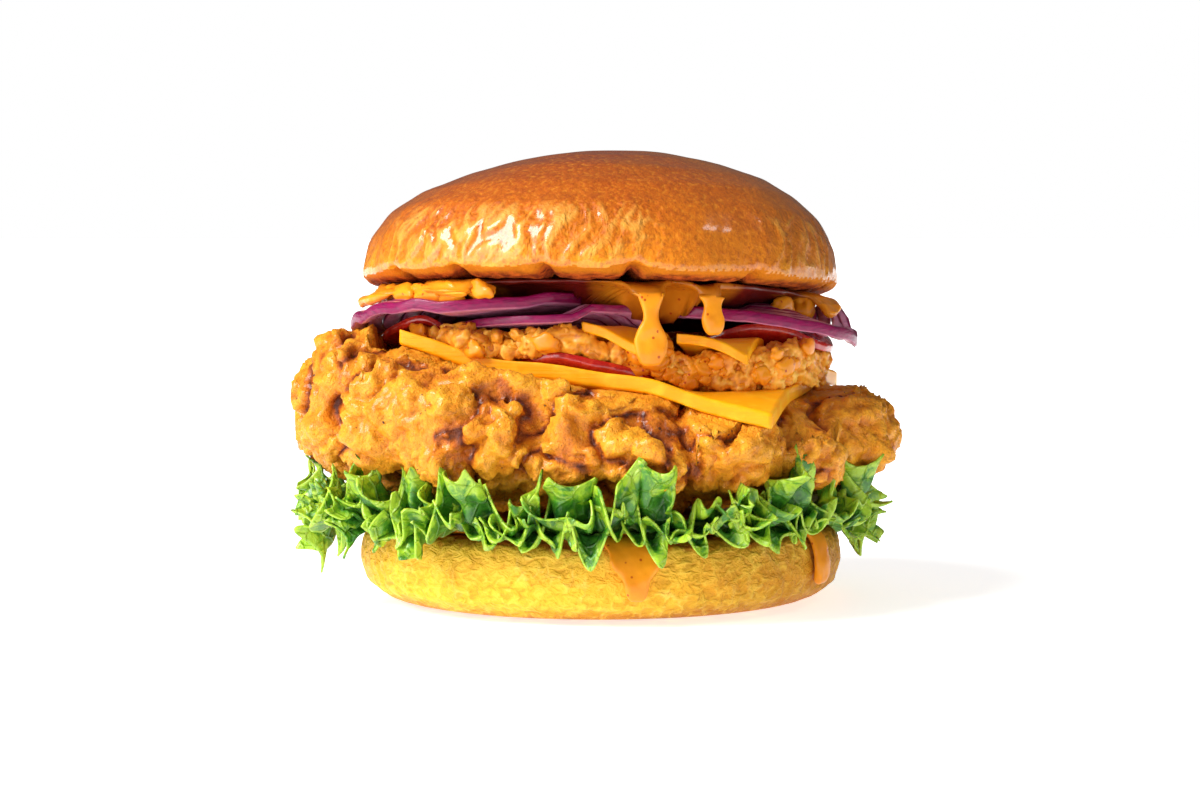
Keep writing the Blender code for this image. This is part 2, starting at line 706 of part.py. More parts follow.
def crown(height):
    """Upper half of the bun: a dome with a notched rim tucked in to its cut face."""
    move, tip, _ = crown_frame(height)
    azimuths = [360 * step / CROWN_SEGMENTS for step in range(CROWN_SEGMENTS)]
    dome = CROWN_HEIGHT - CROWN_WIDEST
    stations = []
    for step in range(1, CROWN_DOME_STEPS + 1):
        angle = math.pi / 2 * step / CROWN_DOME_STEPS
        stations.append((CROWN_RADIUS * math.sin(angle), CROWN_WIDEST + dome * math.cos(angle)))
    stations.append((CROWN_RADIUS * 0.99, CROWN_WIDEST * 0.45))
    stations.append((CROWN_CUT_RADIUS + 1.6 * MM, CROWN_WIDEST * 0.1))
    stations.append((CROWN_CUT_RADIUS - 1.5 * MM, 0.0))
    rings = []
    for radius, level in stations:
        ring = []
        for azimuth in azimuths:
            low = ease(1 - level / CROWN_WIDEST)
            notch = max(math.exp(-((apart(azimuth, at) / 4.5) ** 2)) for at in RIM_NOTCHES)
            uneven = BUN_UNEVENNESS * wave(turn(azimuth) * radius, 40 * MM, 2) * radius / CROWN_RADIUS
            place = turn(azimuth) * (radius + uneven - notch * low * 1.2 * MM)
            place.x += CROWN_PEAK_SHIFT * max(0.0, (level - CROWN_WIDEST) / dome) ** 2
            place.z = level
            if 0 < level < CROWN_WIDEST:
                place.z += notch * RIM_NOTCH_HEIGHT
            ring.append(move @ tip @ place)
        rings.append(ring)
    top = move @ tip @ Vector((CROWN_PEAK_SHIFT, 0, CROWN_HEIGHT))
    return ring_body(top, rings, move @ tip @ Vector((0, 0, 0)))


def crown_sauce(pile, height):
    """Sauce spread under the crown's cut face, with drips over what lies below."""
    half = SAUCE_THICKNESS / 2
    _, _, lean = crown_frame(height)

    def level(azimuth, radius):
        away = turn(azimuth)
        return height - (lean.x * away.x + lean.y * away.y) / lean.z * radius - GAP - half

    def disc(azimuth, share):
        radius = CROWN_SAUCE_RADIUS * share
        slope = level(azimuth, 1.0) - level(azimuth, 0.0)
        return sauce_pair(azimuth, radius, level(azimuth, radius), half, (1, slope))

    def tongue(middle, spread, length):
        run = CROWN_DRIP_RUNS[[drip[0] for drip in CROWN_DRIPS].index(middle)]
        rows = []
        start = level(middle, CROWN_SAUCE_RADIUS)
        radius = CROWN_SAUCE_RADIUS + half
        for share in CROWN_DRIP_ROWS:
            low = start - length * share
            thick = half * (1 + (DRIP_SWELL - 1) * share)
            radius += run / len(CROWN_DRIP_ROWS)
            if run < length / 2:
                near = pile.widest(middle, low - 3 * MM, low + 6 * MM, spread * 1.1)
                radius = max(radius, near + 2 * GAP + thick)
            row = []
            for off in DRIP_COLUMNS:
                azimuth = middle + spread * off * drip_width(share)
                side = thick * (1.0 if abs(off) < 0.9 else 0.8)
                height = low
                if run >= length / 2:
                    under = turn(azimuth) * radius
                    under = pile.top_near(under.x, under.y) or low
                    height = max(low, under + GAP + side * 1.3)
                row.append(sauce_pair(azimuth, radius, height, side, (run, -length)))
            rows.append((share, row))
        return rows

    return sauce_body(CROWN_DRIPS, disc, tongue)


COLOURS = {
    "bun": (0.78, 0.42, 0.12),
    "crumb": (0.88, 0.62, 0.22),
    "fillet": (0.80, 0.42, 0.10),
    "leaf": (0.30, 0.50, 0.08),
    "cheese": (0.98, 0.62, 0.04),
    "tomato": (0.55, 0.03, 0.02),
    "onion": (0.45, 0.03, 0.15),
    "crisps": (0.78, 0.38, 0.10),
    "sauce": (0.88, 0.50, 0.20),
}


def place(name, material, body):
    """Put a body into the scene as one smooth object of its own material."""
    points, faces = body
    mesh = bpy.data.meshes.new(name)
    mesh.from_pydata([tuple(point) for point in points], [], faces)
    cleaner = bmesh.new()
    cleaner.from_mesh(mesh)
    bmesh.ops.recalc_face_normals(cleaner, faces=cleaner.faces)
    for face in cleaner.faces:
        face.smooth = True
    cleaner.to_mesh(mesh)
    cleaner.free()
    item = bpy.data.objects.new(name, mesh)
    bpy.context.scene.collection.objects.link(item)
    surface = bpy.data.materials.get(material)
    if surface is None:
        surface = bpy.data.materials.new(material)
        surface.use_nodes = True
        shader = surface.node_tree.nodes["Principled BSDF"]
        shader.inputs["Base Color"].default_value = (*COLOURS[material], 1.0)
        shader.inputs["Roughness"].default_value = 0.5
    mesh.materials.append(surface)


def build():
    """Stack the burger from the base up."""
    pile = Pile()

    def lay(name, material, body):
        pile.add(*body)
        place(name, material, body)

    lay("bun_heel", "crumb", heel())
    lay("sauce_heel", "sauce", heel_sauce())
    lay("fillet", "fillet", fillet())
    leaves = [leaf(pile, *shape) for shape in LEAVES]
    for number, body in enumerate(leaves, 1):
        place(f"lettuce_leaf_{number}", "leaf", body)
    filling = Filling()
    lay("cheese_slice", "cheese", cheese(pile, filling, *CHEESES["cheese_slice"]))
    lay("tomato_slice_front", "tomato", tomato(pile, filling, *TOMATOES["tomato_slice_front"]))
    lay("crispy_onion", "crisps", crisps(pile, filling))
    lay("cheese_piece_left", "cheese", cheese(pile, filling, *CHEESES["cheese_piece_left"]))
    lay("cheese_piece_right", "cheese", cheese(pile, filling, *CHEESES["cheese_piece_right"]))
    lay("tomato_slice_left", "tomato", tomato(pile, filling, *TOMATOES["tomato_slice_left"]))
    lay("tomato_slice_right", "tomato", tomato(pile, filling, *TOMATOES["tomato_slice_right"]))
    for name, shape in ONIONS.items():
        lay(name, "onion", onion(pile, filling, *shape))
    height = crown_height(pile)
    place("sauce_crown", "sauce", crown_sauce(pile, height))
    place("bun_crown", "bun", crown(height))
    return height


for item in list(bpy.data.objects):
    bpy.data.objects.remove(item, do_unlink=True)
build()
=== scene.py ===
"""Looks of a fried chicken burger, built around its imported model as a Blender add-on.

Lengths inside the functions are millimetres, turned to metres by MM. +Z is up, the front faces -Y and
azimuths are degrees from +X, so the front is at -90.
"""

import math
import random

import bmesh
import bpy
import numpy as np
from bpy.props import FloatProperty, FloatVectorProperty, IntProperty, PointerProperty
from mathutils import Matrix, Vector, noise
from mathutils.bvhtree import BVHTree


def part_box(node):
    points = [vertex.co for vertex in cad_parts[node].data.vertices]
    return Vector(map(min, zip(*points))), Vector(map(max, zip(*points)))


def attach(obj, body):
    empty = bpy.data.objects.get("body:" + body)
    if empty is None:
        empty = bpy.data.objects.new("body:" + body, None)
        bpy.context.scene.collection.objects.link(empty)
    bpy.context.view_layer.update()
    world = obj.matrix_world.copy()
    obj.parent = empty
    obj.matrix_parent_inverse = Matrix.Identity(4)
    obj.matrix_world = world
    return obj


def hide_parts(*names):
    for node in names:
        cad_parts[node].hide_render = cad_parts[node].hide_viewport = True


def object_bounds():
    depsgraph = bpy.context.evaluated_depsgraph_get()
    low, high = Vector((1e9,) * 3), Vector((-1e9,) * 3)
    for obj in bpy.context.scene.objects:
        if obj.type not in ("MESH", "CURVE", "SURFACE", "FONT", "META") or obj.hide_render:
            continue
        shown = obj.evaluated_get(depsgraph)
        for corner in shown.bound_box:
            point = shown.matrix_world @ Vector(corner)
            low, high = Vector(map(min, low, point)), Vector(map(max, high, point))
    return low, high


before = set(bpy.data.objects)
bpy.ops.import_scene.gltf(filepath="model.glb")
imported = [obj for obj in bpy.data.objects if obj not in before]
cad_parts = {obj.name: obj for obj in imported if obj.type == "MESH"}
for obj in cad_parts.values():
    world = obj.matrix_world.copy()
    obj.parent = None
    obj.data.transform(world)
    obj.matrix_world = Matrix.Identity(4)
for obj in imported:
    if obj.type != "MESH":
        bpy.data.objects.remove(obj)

bl_info = {
    "name": "Chicken Burger Looks",
    "version": (1, 0, 0),
    "blender": (4, 5, 0),
    "location": "View3D > Sidebar > Burger",
    "description": "Dresses the packed chicken burger with bread, crust, leaves, slices and sauce",
    "category": "Object",
}

MM = 0.001
CAD_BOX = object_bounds()


# ---------------------------------------------------------------- colour and material helpers


def linear(code):
    """Linear colour of an sRGB hex code."""
    parts = [int(code[k : k + 2], 16) / 255 for k in (0, 2, 4)]
    return [p / 12.92 if p <= 0.04045 else ((p + 0.055) / 1.055) ** 2.4 for p in parts] + [1.0]


def hue(code, name, description):
    """A colour property whose default is an sRGB hex code."""
    return FloatVectorProperty(
        name=name, description=description, subtype="COLOR", size=4, min=0.0, max=1.0, default=linear(code)
    )


class Tree:
    """A material's node tree, with one way of adding nodes."""

    def __init__(self, name, **sockets):
        self.material = bpy.data.materials.new(name)
        self.material.use_nodes = True
        self.tree = self.material.node_tree
        self.shader = self.tree.nodes["Principled BSDF"]
        for key, value in sockets.items():
            self.shader.inputs[key.replace("_", " ")].default_value = value

    def add(self, kind, settings=(), **inputs):
        """Adds a node. Settings are its attributes; an input is a value or another node's output."""
        node = self.tree.nodes.new("ShaderNode" + kind)
        for key, value in dict(settings).items():
            setattr(node, key, value)
        for key, value in inputs.items():
            socket = node.inputs[int(key[1:]) if key[1:].isdigit() else key.replace("_", " ")]
            if isinstance(value, bpy.types.NodeSocket):
                self.tree.links.new(value, socket)
            else:
                socket.default_value = value
        return node

    def join(self, output, name):
        self.tree.links.new(output, self.shader.inputs[name])

    def place(self, millimetres, stretch=(1, 1, 1)):
        """Object coordinates scaled so that one unit is that many millimetres."""
        coordinates = self.add("TexCoord").outputs["Object"]
        scale = [side / (millimetres * MM) for side in stretch]
        return self.add("Mapping", Vector=coordinates, Scale=scale).outputs["Vector"]

    def noise(self, millimetres, detail=3.0, rough=0.5, warp=0.0, stretch=(1, 1, 1)):
        where = self.place(millimetres, stretch)
        node = self.add("TexNoise", Vector=where, Scale=1.0, Detail=detail, Roughness=rough, Distortion=warp)
        return node.outputs["Fac"]

    def read(self, name):
        return self.add("Attribute", {"attribute_name": name}).outputs["Fac"]

    def fit(self, value, low, high, to_low=0.0, to_high=1.0):
        node = self.add("MapRange", _0=value, _1=low, _2=high, _3=to_low, _4=to_high)
        return node.outputs["Result"]

    def math(self, kind, one, other):
        return self.add("Math", {"operation": kind}, _0=one, _1=other).outputs[0]

    def mix(self, share, one, other, blend="MIX"):
        node = self.add("Mix", {"data_type": "RGBA", "blend_type": blend}, _0=share, _6=one, _7=other)
        return node.outputs[2]

    def ramp(self, value, *stops):
        """Colours along a value, as (place, colour) pairs."""
        node = self.add("ValToRGB", Fac=value)
        line = node.color_ramp.elements
        while len(line) < len(stops):
            line.new(0.5)
        for element, (place, colour) in zip(line, stops):
            element.position = place
            element.color = colour
        return node.outputs["Color"]

    def bump(self, height, millimetres, strength=1.0, onto=None):
        inputs = {"Height": height, "Distance": millimetres * MM, "Strength": strength}
        if onto is not None:
            inputs["Normal"] = onto
        return self.add("Bump", **inputs).outputs["Normal"]


# ---------------------------------------------------------------- piece helpers


def pick(piece):
    """Makes one object the only one selected, and active."""
    bpy.ops.object.select_all(action="DESELECT")
    piece.select_set(True)
    bpy.context.view_layer.objects.active = piece


def modify(piece, kind, **settings):
    """Adds a modifier and applies it."""
    pick(piece)
    modifier = piece.modifiers.new(kind.title(), kind)
    for key, value in settings.items():
        setattr(modifier, key, value)
    bpy.ops.object.modifier_apply(modifier=modifier.name)


def node_copy(node, name):
    """A copy of a CAD node's mesh, merged into one closed skin."""
    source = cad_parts[node]
    piece = bpy.data.objects.new(name, source.data.copy())
    bpy.context.scene.collection.objects.link(piece)
    piece.matrix_world = source.matrix_world
    piece.data.materials.clear()
    pick(piece)
    bpy.ops.object.transform_apply(location=True, rotation=True, scale=True)
    bpy.ops.mesh.customdata_custom_splitnormals_clear()
    bpy.ops.object.mode_set(mode="EDIT")
    bpy.ops.mesh.select_all(action="SELECT")
    bpy.ops.mesh.remove_doubles(threshold=0.00001)
    bpy.ops.object.mode_set(mode="OBJECT")
    return piece


def remesh(piece, voxel, rounds):
    """Even quads of a given size over a closed piece, smoothed."""
    modify(piece, "REMESH", mode="VOXEL", voxel_size=voxel * MM, use_smooth_shade=True)
    if rounds:
        modify(piece, "SMOOTH", factor=0.5, iterations=rounds)


def points(piece):
    """The vertices and their normals, as arrays. Places are in millimetres."""
    mesh = piece.data
    flat = np.empty(len(mesh.vertices) * 3, dtype=np.float32)
    mesh.vertices.foreach_get("co", flat)
    places = flat.reshape(-1, 3).astype(np.float64) / MM
    mesh.vertex_normals.foreach_get("vector", flat)
    return places, flat.reshape(-1, 3).astype(np.float64)


def move(piece, places):
    """Puts the vertices at new places in millimetres."""
    piece.data.vertices.foreach_set("co", (places * MM).astype(np.float32).ravel())
    piece.data.update()


def keep(piece, name, values):
    """Stores one number for each vertex, for the material to read."""
    layer = piece.data.attributes.new(name, "FLOAT", "POINT")
    layer.data.foreach_set("value", np.asarray(values, dtype=np.float32))


def finish(piece, slot, material, *nodes):
    """Gives a piece its material and hides the nodes it stands for; the slot is not used."""
    piece.data.materials.clear()
    piece.data.materials.append(material)
    piece.data.polygons.foreach_set("use_smooth", [True] * len(piece.data.polygons))
    low, high = [np.array(corner) / MM for corner in CAD_BOX]
    places, _ = points(piece)
    move(piece, np.clip(places, low + 0.02, high - 0.02))
    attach(piece, "root")
    if nodes:
        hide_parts(*nodes)


def surface(node):
    """A search tree over a CAD node, in metres."""
    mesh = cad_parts[node].data
    corners = [vertex.co for vertex in mesh.vertices]
    return BVHTree.FromPolygons(corners, [tuple(face.vertices) for face in mesh.polygons])


def height_at(tree, x, y, down=True):
    """Height of a surface at a place in millimetres, seen from above or from below, or None."""
    start = Vector((x * MM, y * MM, 0.3 if down else -0.1))
    hit = tree.ray_cast(start, Vector((0, 0, -1 if down else 1)))[0]
    return hit.z / MM if hit else None


def radius_at(tree, azimuth, height):
    """Radius in millimetres of a surface at an azimuth and height, seen from outside, or 0."""
    away = Vector((math.cos(math.radians(azimuth)), math.sin(math.radians(azimuth)), 0))
    hit = tree.ray_cast(away * 0.2 + Vector((0, 0, height * MM)), -away)[0]
    return hit.xy.length / MM if hit and hit.xy.dot(away.xy) > 0 else 0.0


def ease(value, low=0.0, high=1.0):
    share = min(1.0, max(0.0, (value - low) / (high - low)))
    return share * share * (3 - 2 * share)


def cells(place):
    """How far a place is from the border of its Voronoi cell, and a number from 0 to 1 for the cell."""
    far, where = noise.voronoi(place)
    return far[1] - far[0], noise.cell(where[0] * 7.3)


# ---------------------------------------------------------------- sizes and colours


class BurgerSizes(bpy.types.PropertyGroup):
    bread_grain: FloatProperty(name="Bread grain", description="Size of the bread's mesh", default=0.9 * MM, unit="LENGTH")
    crust_grain: FloatProperty(name="Crust grain", description="Size of the crust's mesh", default=0.74 * MM, unit="LENGTH")
    lobe: FloatProperty(name="Lobe", description="Width of the crust's large lobes", default=15.0 * MM, unit="LENGTH")
    lobe_depth: FloatProperty(name="Lobe depth", description="Depth between lobes", default=5.4 * MM, unit="LENGTH")
    plate: FloatProperty(name="Plate", description="Width of the crust's plates", default=5.0 * MM, unit="LENGTH")
    plate_depth: FloatProperty(name="Plate depth", description="Depth between plates", default=1.9 * MM, unit="LENGTH")
    leaf_thickness: FloatProperty(name="Leaf thickness", description="Thickness of lettuce", default=0.45 * MM, unit="LENGTH")
    ruffle: FloatProperty(name="Ruffle", description="Height of the leaves' fine ruffles", default=2.1 * MM, unit="LENGTH")
    pepper: FloatProperty(name="Pepper", description="Width of the largest pepper speck", default=1.3 * MM, unit="LENGTH")
    seed: IntProperty(name="Seed", description="Start of everything scattered", default=7)


class BurgerColours(bpy.types.PropertyGroup):
    glaze_dark: hue("9c420a", "Glaze, dark", "Top of the crown")
    glaze: hue("c4620c", "Glaze", "Side of the crown")
    glaze_pale: hue("ea9a18", "Glaze, pale", "Rim of the crown")
    bread: hue("fcb92c", "Bread", "Side of the heel")
    bread_dark: hue("c07c16", "Bread, dark", "Foot of the heel")
    crumb: hue("b8561c", "Crumb", "Toasted cut faces")
    crust_crevice_shade: hue("5e2006", "Crust, deep", "Bottom of crevices")
    crust_mid: hue("b85a0a", "Crust, middle", "Sides of lobes")
    crust: hue("e68a14", "Crust", "Most of the crust")
    crust_pale: hue("f9a926", "Crust, pale", "Tops of lobes")
    leaf_inner_shade: hue("17521a", "Leaf, deep", "Inner leaf")
    leaf: hue("46881c", "Leaf", "Blade")
    leaf_edge: hue("a6c830", "Leaf, edge", "Margin")
    cheese: hue("fea804", "Cheese", "Cheddar")
    tomato: hue("b41c14", "Tomato", "Flesh and skin")
    onion_skin: hue("8e0a4c", "Onion skin", "Outer edge of a red onion")
    onion_flesh: hue("d08aa8", "Onion flesh", "Rings of a red onion")
    sauce: hue("f59a1a", "Sauce", "Creamy chilli sauce")


# ---------------------------------------------------------------- bread

RIM_NOTCHES = (-146, -126, -103, -82, -51, -12, 28, 70, 118, 160)  # degrees
RIM_WIDEST = 4.6  # height of the crown's widest line above its cut face, in millimetres
RIM_SAG = 1.5  # how far that line sags towards the cut face
BROWN_SIDE = 18  # degrees to the front of +X of the brownest side
HEEL_CREASES = ((-62, 3.0), (-38, 2.2), (-22, 3.4), (-150, 2.6), (35, 3.0), (110, 2.4))  # degrees, width


def cut_face(node):
    """Middle and upward direction of a bun's cut face that looks down, in millimetres."""
    middle, facing, total = Vector(), Vector(), 0.0
    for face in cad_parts[node].data.polygons:
        if face.normal.z < -0.97:
            middle += face.center * face.area
            facing += face.normal * face.area
            total += face.area
    return middle / total / MM, -facing.normalized()


def ridges(place):
    """Sharp ridges with soft valleys between them, from 0 to 1."""
    return 1 - min(1.0, abs(noise.noise(place)) * 3.2)


def crown_piece(sizes):
    """The crown: an egg-washed dome, wrinkled low at the front, with a notched rim and a flat cut face."""
    piece = node_copy("bun_crown", "crown_bread")
    remesh(piece, sizes.bread_grain / MM, 10)
    middle, up = cut_face("bun_crown")
    places, facings = points(piece)
    rises, wrinkles, crinkles, pit_shades, cuts, rims = [], [], [], [], [], []
    for index, (place, facing) in enumerate(zip(places, facings)):
        offset = Vector(place) - middle
        rise = offset.dot(up)
        azimuth = math.degrees(math.atan2(offset.y, offset.x))
        arc = math.radians(azimuth) * 50
        side = 1 - ease(-Vector(facing).dot(up), 0.3, 0.8)
        warp = noise.noise(Vector((arc, rise, 3)) / 6) * 1.4
        line = ridges(Vector((arc / 3.6 + warp, rise / 6.5 + warp * 0.7, 5)))
        folds = ease(azimuth, -168, -140) * (1 - ease(azimuth, -84, -66)) * ease(rise, 2, 7) * (1 - ease(rise, 13, 20))
        right = ease(azimuth, -52, -42) * (1 - ease(azimuth, -24, -10)) * ease(rise, 2, 6) * (1 - ease(rise, 13, 19))
        around = ease(rise, 1, 5) * (1 - ease(rise, 9, 15)) * 0.35
        wrinkle = line * max(folds, right, around)
        crinkles.append(max(folds, right, around))
        lift = 0.62 * wrinkle * side
        lift += 0.45 * noise.noise(Vector(place) / 17) * side + 0.1 * noise.noise(Vector(place) / 5)
        lift += 0.5 * (1 - side) * noise.noise(Vector(place) / 2.6)
        # pit_shade: how near a rim notch this place is; it only marks the notches' painted shade.
        pit_shade = 0.0
        for notch in RIM_NOTCHES:
            away = (azimuth - notch + 180) % 360 - 180
            near = math.exp(-((away / (2.0 + 0.8 * math.sin(notch))) ** 2) - ((rise - 1.2) / 3.0) ** 2)
            lift -= 2.8 * near * (0.7 + 0.3 * math.cos(notch * 3))
            pit_shade = max(pit_shade, near)
        sag = RIM_SAG * ease(rise, 0, RIM_WIDEST) * (1 - ease(rise, RIM_WIDEST, 16))
        places[index] += facing * (lift - 0.15) - np.array(up) * sag
        rises.append(rise / 33)
        wrinkles.append(wrinkle)
        pit_shades.append(pit_shade)
        cuts.append(ease(-Vector(facing).dot(up), 0.1, 0.5) * (1 - ease(rise, 3.0, 5.0)))
        rims.append(ease(rise, 0.3, 2.0))
    move(piece, places)
    keep(piece, "rise", rises)
    keep(piece, "wrinkle", wrinkles)
    keep(piece, "crinkle", crinkles)
    keep(piece, "pit_shade", pit_shades)
    keep(piece, "cut", cuts)
    keep(piece, "rim", rims)
    keep(piece, "brown_share", brown_shares(places))
    return piece


def cut_faces(piece, material):
    """Gives the faces on and next to the crown's cut face a material of their own."""
    piece.data.materials.append(material)
    cuts = np.empty(len(piece.data.vertices), dtype=np.float32)
    piece.data.attributes["cut"].data.foreach_get("value", cuts)
    for face in piece.data.polygons:
        face.material_index = int(cuts[face.vertices[0]] > 0.5)


def brown_shares(places):
    """How much browner the bun is at each place: more on its right and in soft patches, from 0 to 1."""
    found = []
    for x, y, z in places:
        azimuth = math.degrees(math.atan2(y, x))
        right = math.exp(-((((azimuth + BROWN_SIDE + 180) % 360 - 180) / 42) ** 2))
        found.append(min(1.0, max(0.0, right + 0.5 * noise.noise(Vector((x, y, z)) / 14))))
    return found


def heel_piece(sizes):
    """The heel: soft, finely wrinkled bread with a few soft creases, brown at its foot."""
    piece = node_copy("bun_heel", "heel_bread")
    remesh(piece, sizes.bread_grain / MM, 8)
    places, facings = points(piece)
    rises, wrinkles = [], []
    for index, (place, facing) in enumerate(zip(places, facings)):
        x, y, z = place
        azimuth = math.degrees(math.atan2(y, x))
        arc = math.radians(azimuth) * 53
        side = 1 - ease(abs(facing[2]), 0.75, 0.98)
        lean = arc + 0.7 * z
        warp = noise.noise(Vector((arc, z, 9)) / 5) * 1.2
        line = ridges(Vector((lean / 3.0 + warp, (z - 0.5 * arc) / 4.4 + warp, 2)))
        wrinkle = line * (0.4 + 0.6 * ease(noise.noise(Vector(place) / 9 + Vector((4, 4, 4))), -0.4, 0.4))
        lift = 0.5 * wrinkle * side + 0.55 * noise.noise(Vector(place) / 15) * side
        for crease, width in HEEL_CREASES:
            away = (azimuth - crease + z * 0.45 + 180) % 360 - 180
            lift -= 0.5 * math.exp(-((away / width * 2) ** 2)) * side
        if z > 16:
            lift += 0.4 * noise.noise(Vector(place) / 2.2)
        hold = ease(z, 0.0, 3.0)
        places[index] += facing * (lift - 0.25) * hold
        places[index][2] = max(0.0, places[index][2])
        rises.append(z / 18)
        wrinkles.append(wrinkle)
    move(piece, places)
    keep(piece, "rise", rises)
    keep(piece, "wrinkle", wrinkles)
    keep(piece, "brown_share", brown_shares(places))
    return piece


def crown_material(colours):
    """Baked brioche under egg wash: darker on top, pale at the rim, finely pebbled and coated, with painted highlights
    on its low wrinkles and painted shade in its rim's notches.
    """
    tree = Tree("egg_washed_bread", Roughness=0.45, Specular_IOR_Level=0.15, Coat_Weight=0.85, Coat_Roughness=0.15)
    rise = tree.read("rise")
    mottled = tree.noise(7, 5, 0.65, 0.6)
    speckle = tree.noise(1.1, 3, 0.6)
    level = tree.math("ADD", rise, tree.fit(mottled, 0.3, 0.7, -0.13, 0.13))
    pale, side, dark = colours.glaze_pale, colours.glaze, colours.glaze_dark
    deep = linear("8c3510")
    body = tree.ramp(level, (0.02, pale), (0.17, linear("de7e12")), (0.42, side), (0.95, dark))
    body = tree.mix(tree.fit(speckle, 0.5, 0.68, 0.0, 0.5), body, deep)
    body = tree.mix(tree.fit(speckle, 0.46, 0.3, 0.0, 0.4), body, linear("f09c2a"))
    # Painted highlight: the wrinkle ridges are mixed towards a pale, near-white yellow.
    body = tree.mix(tree.fit(tree.read("wrinkle"), 0.4, 0.95, 0.0, 0.42), body, linear("ffcc5c"))
    body = tree.mix(tree.math("MULTIPLY", tree.read("brown_share"), 0.55), body, linear("a4600e"))
    # Painted shade: the rim's notches are darkened to a near black-brown.
    body = tree.mix(tree.fit(tree.read("pit_shade"), 0.3, 0.75, 0.0, 0.9), body, linear("561c08"))
    tree.join(body, "Base Color")
    fine = tree.bump(speckle, 0.4, 0.8)
    crinkle = tree.bump(tree.noise(2.8, 2, 0.5, 0.8, (1, 1, 0.55)), 1.2, tree.read("crinkle"), fine)
    tree.join(tree.bump(tree.noise(3.4, 3, 0.5, 0.6), 0.45, 0.8, crinkle), "Normal")
    return tree.material


def crumb_material(colours):
    """Toasted crumb of the crown's cut face: matt, brown and pitted, its darkest brown partly painted shade under the
    crown.
    """
    tree = Tree("toasted_crumb_and_shade", Roughness=0.8, Specular_IOR_Level=0.1)
    # The near-black brown is partly toasting and partly painted shade under the crown's overhang.
    body = tree.mix(tree.fit(tree.noise(2, 3, 0.6), 0.4, 0.65), linear("6e2810"), colours.crumb)
    body = tree.mix(tree.math("MULTIPLY", tree.read("rim"), 0.9), body, linear("c87414"))
    tree.join(body, "Base Color")
    tree.join(tree.bump(tree.noise(1.5, 3, 0.6), 0.6, 0.8), "Normal")
    return tree.material


def heel_material(colours):
    """Soft pale bread: bright, finely wrinkled sides with painted highlights on their ridges and painted shade in their
    troughs, a browned foot and a toasted cut edge.
    """
    tree = Tree("soft_bread", Roughness=0.5, Specular_IOR_Level=0.2)
    rise = tree.read("rise")
    mottled = tree.noise(6, 4, 0.6, 0.4)
    level = tree.math("ADD", rise, tree.fit(mottled, 0.3, 0.7, -0.07, 0.07))
    body = tree.ramp(
        level,
        (0.0, linear("8a5416")), (0.07, colours.bread_dark), (0.22, linear("eab832")),
        (0.45, colours.bread), (0.9, linear("f6c440")), (0.985, colours.crumb),
    )
    # Painted highlight: the wrinkle ridges are mixed towards pale yellow.
    body = tree.mix(tree.fit(tree.read("wrinkle"), 0.55, 0.95, 0.0, 0.5), body, linear("ffdf70"))
    body = tree.mix(tree.fit(tree.noise(0.8, 3, 0.6), 0.52, 0.75, 0.0, 0.3), body, linear("d09020"))
    body = tree.mix(tree.math("MULTIPLY", tree.read("brown_share"), 0.85), body, linear("bc7414"))
    crumple = tree.noise(2.3, 3, 0.55, 0.8, (1, 1, 1.5))
    # Painted highlight on the crumple's peaks and painted shade in its troughs; the same noise drives the bump.
    body = tree.mix(tree.fit(crumple, 0.5, 0.7, 0.0, 0.55), body, linear("ffd450"))
    body = tree.mix(tree.fit(crumple, 0.5, 0.32, 0.0, 0.5), body, linear("c47c14"))
    tree.join(body, "Base Color")
    fine = tree.bump(tree.noise(0.9, 3, 0.6), 0.25, 0.8)
    tree.join(tree.bump(crumple, 1.1, 0.9, fine), "Normal")
    return tree.material


# ---------------------------------------------------------------- fried crust


CRUST_SEED = 57  # fixes the swirls that bend the crust's lobes


def crust_height(place, sizes):
    """Height of the crust in millimetres above its deepest crevice, and shares from 0 to 1 for colour."""
    warp = noise.noise_vector(place / 13) * 5.0 + noise.noise_vector(place / 5) * 1.8
    where = (place + warp) / (sizes.lobe / MM)
    lobe = min(1.0, abs(noise.noise(where)) * 2.6)
    lobe = 1 - (1 - lobe) ** 2
    second = min(1.0, abs(noise.noise(where * 2.15 + Vector((3, 9, 4)))) * 2.6)
    second = 1 - (1 - second) ** 2
    bent = place + warp * 0.7 + noise.noise_vector(place / 2.2) * 1.1
    plate_gap, plate_lift = cells(bent / (sizes.plate / MM))
    plate = 1 - math.exp(-plate_gap * 6.5)
    patch = ease(noise.noise(place / 9 + Vector((7, 1, 3))), -0.35, 0.15)
    fold = ridges((place + warp) / 6.0 + Vector((1, 5, 2)))
    deep, flat = sizes.lobe_depth / MM, sizes.plate_depth / MM
    height = deep * (0.62 * lobe + 0.38 * second)
    height += flat * patch * (0.5 * plate + 0.5 * plate * plate_lift)
    height += 0.9 * fold * (1 - 0.7 * patch)
    crag = 0.3 * second + 0.5 * (plate * patch + (1 - patch)) + 0.2 * fold
    return height, lobe, crag


def crust_grain(place):
    """Small bumps of the crust in millimetres."""
    bent = place + noise.noise_vector(place / 2.2) * 0.9
    bumps = noise.turbulence(bent / 2.5, 3, True, amplitude_scale=0.6, frequency_scale=2.1)
    share = ease(noise.noise(place / 7 + Vector((2, 8, 5))), -0.4, 0.15)
    return 0.55 * bumps + share * (0.85 * ridges(bent / 4.2) + 0.6 * ridges(bent / 2.1))


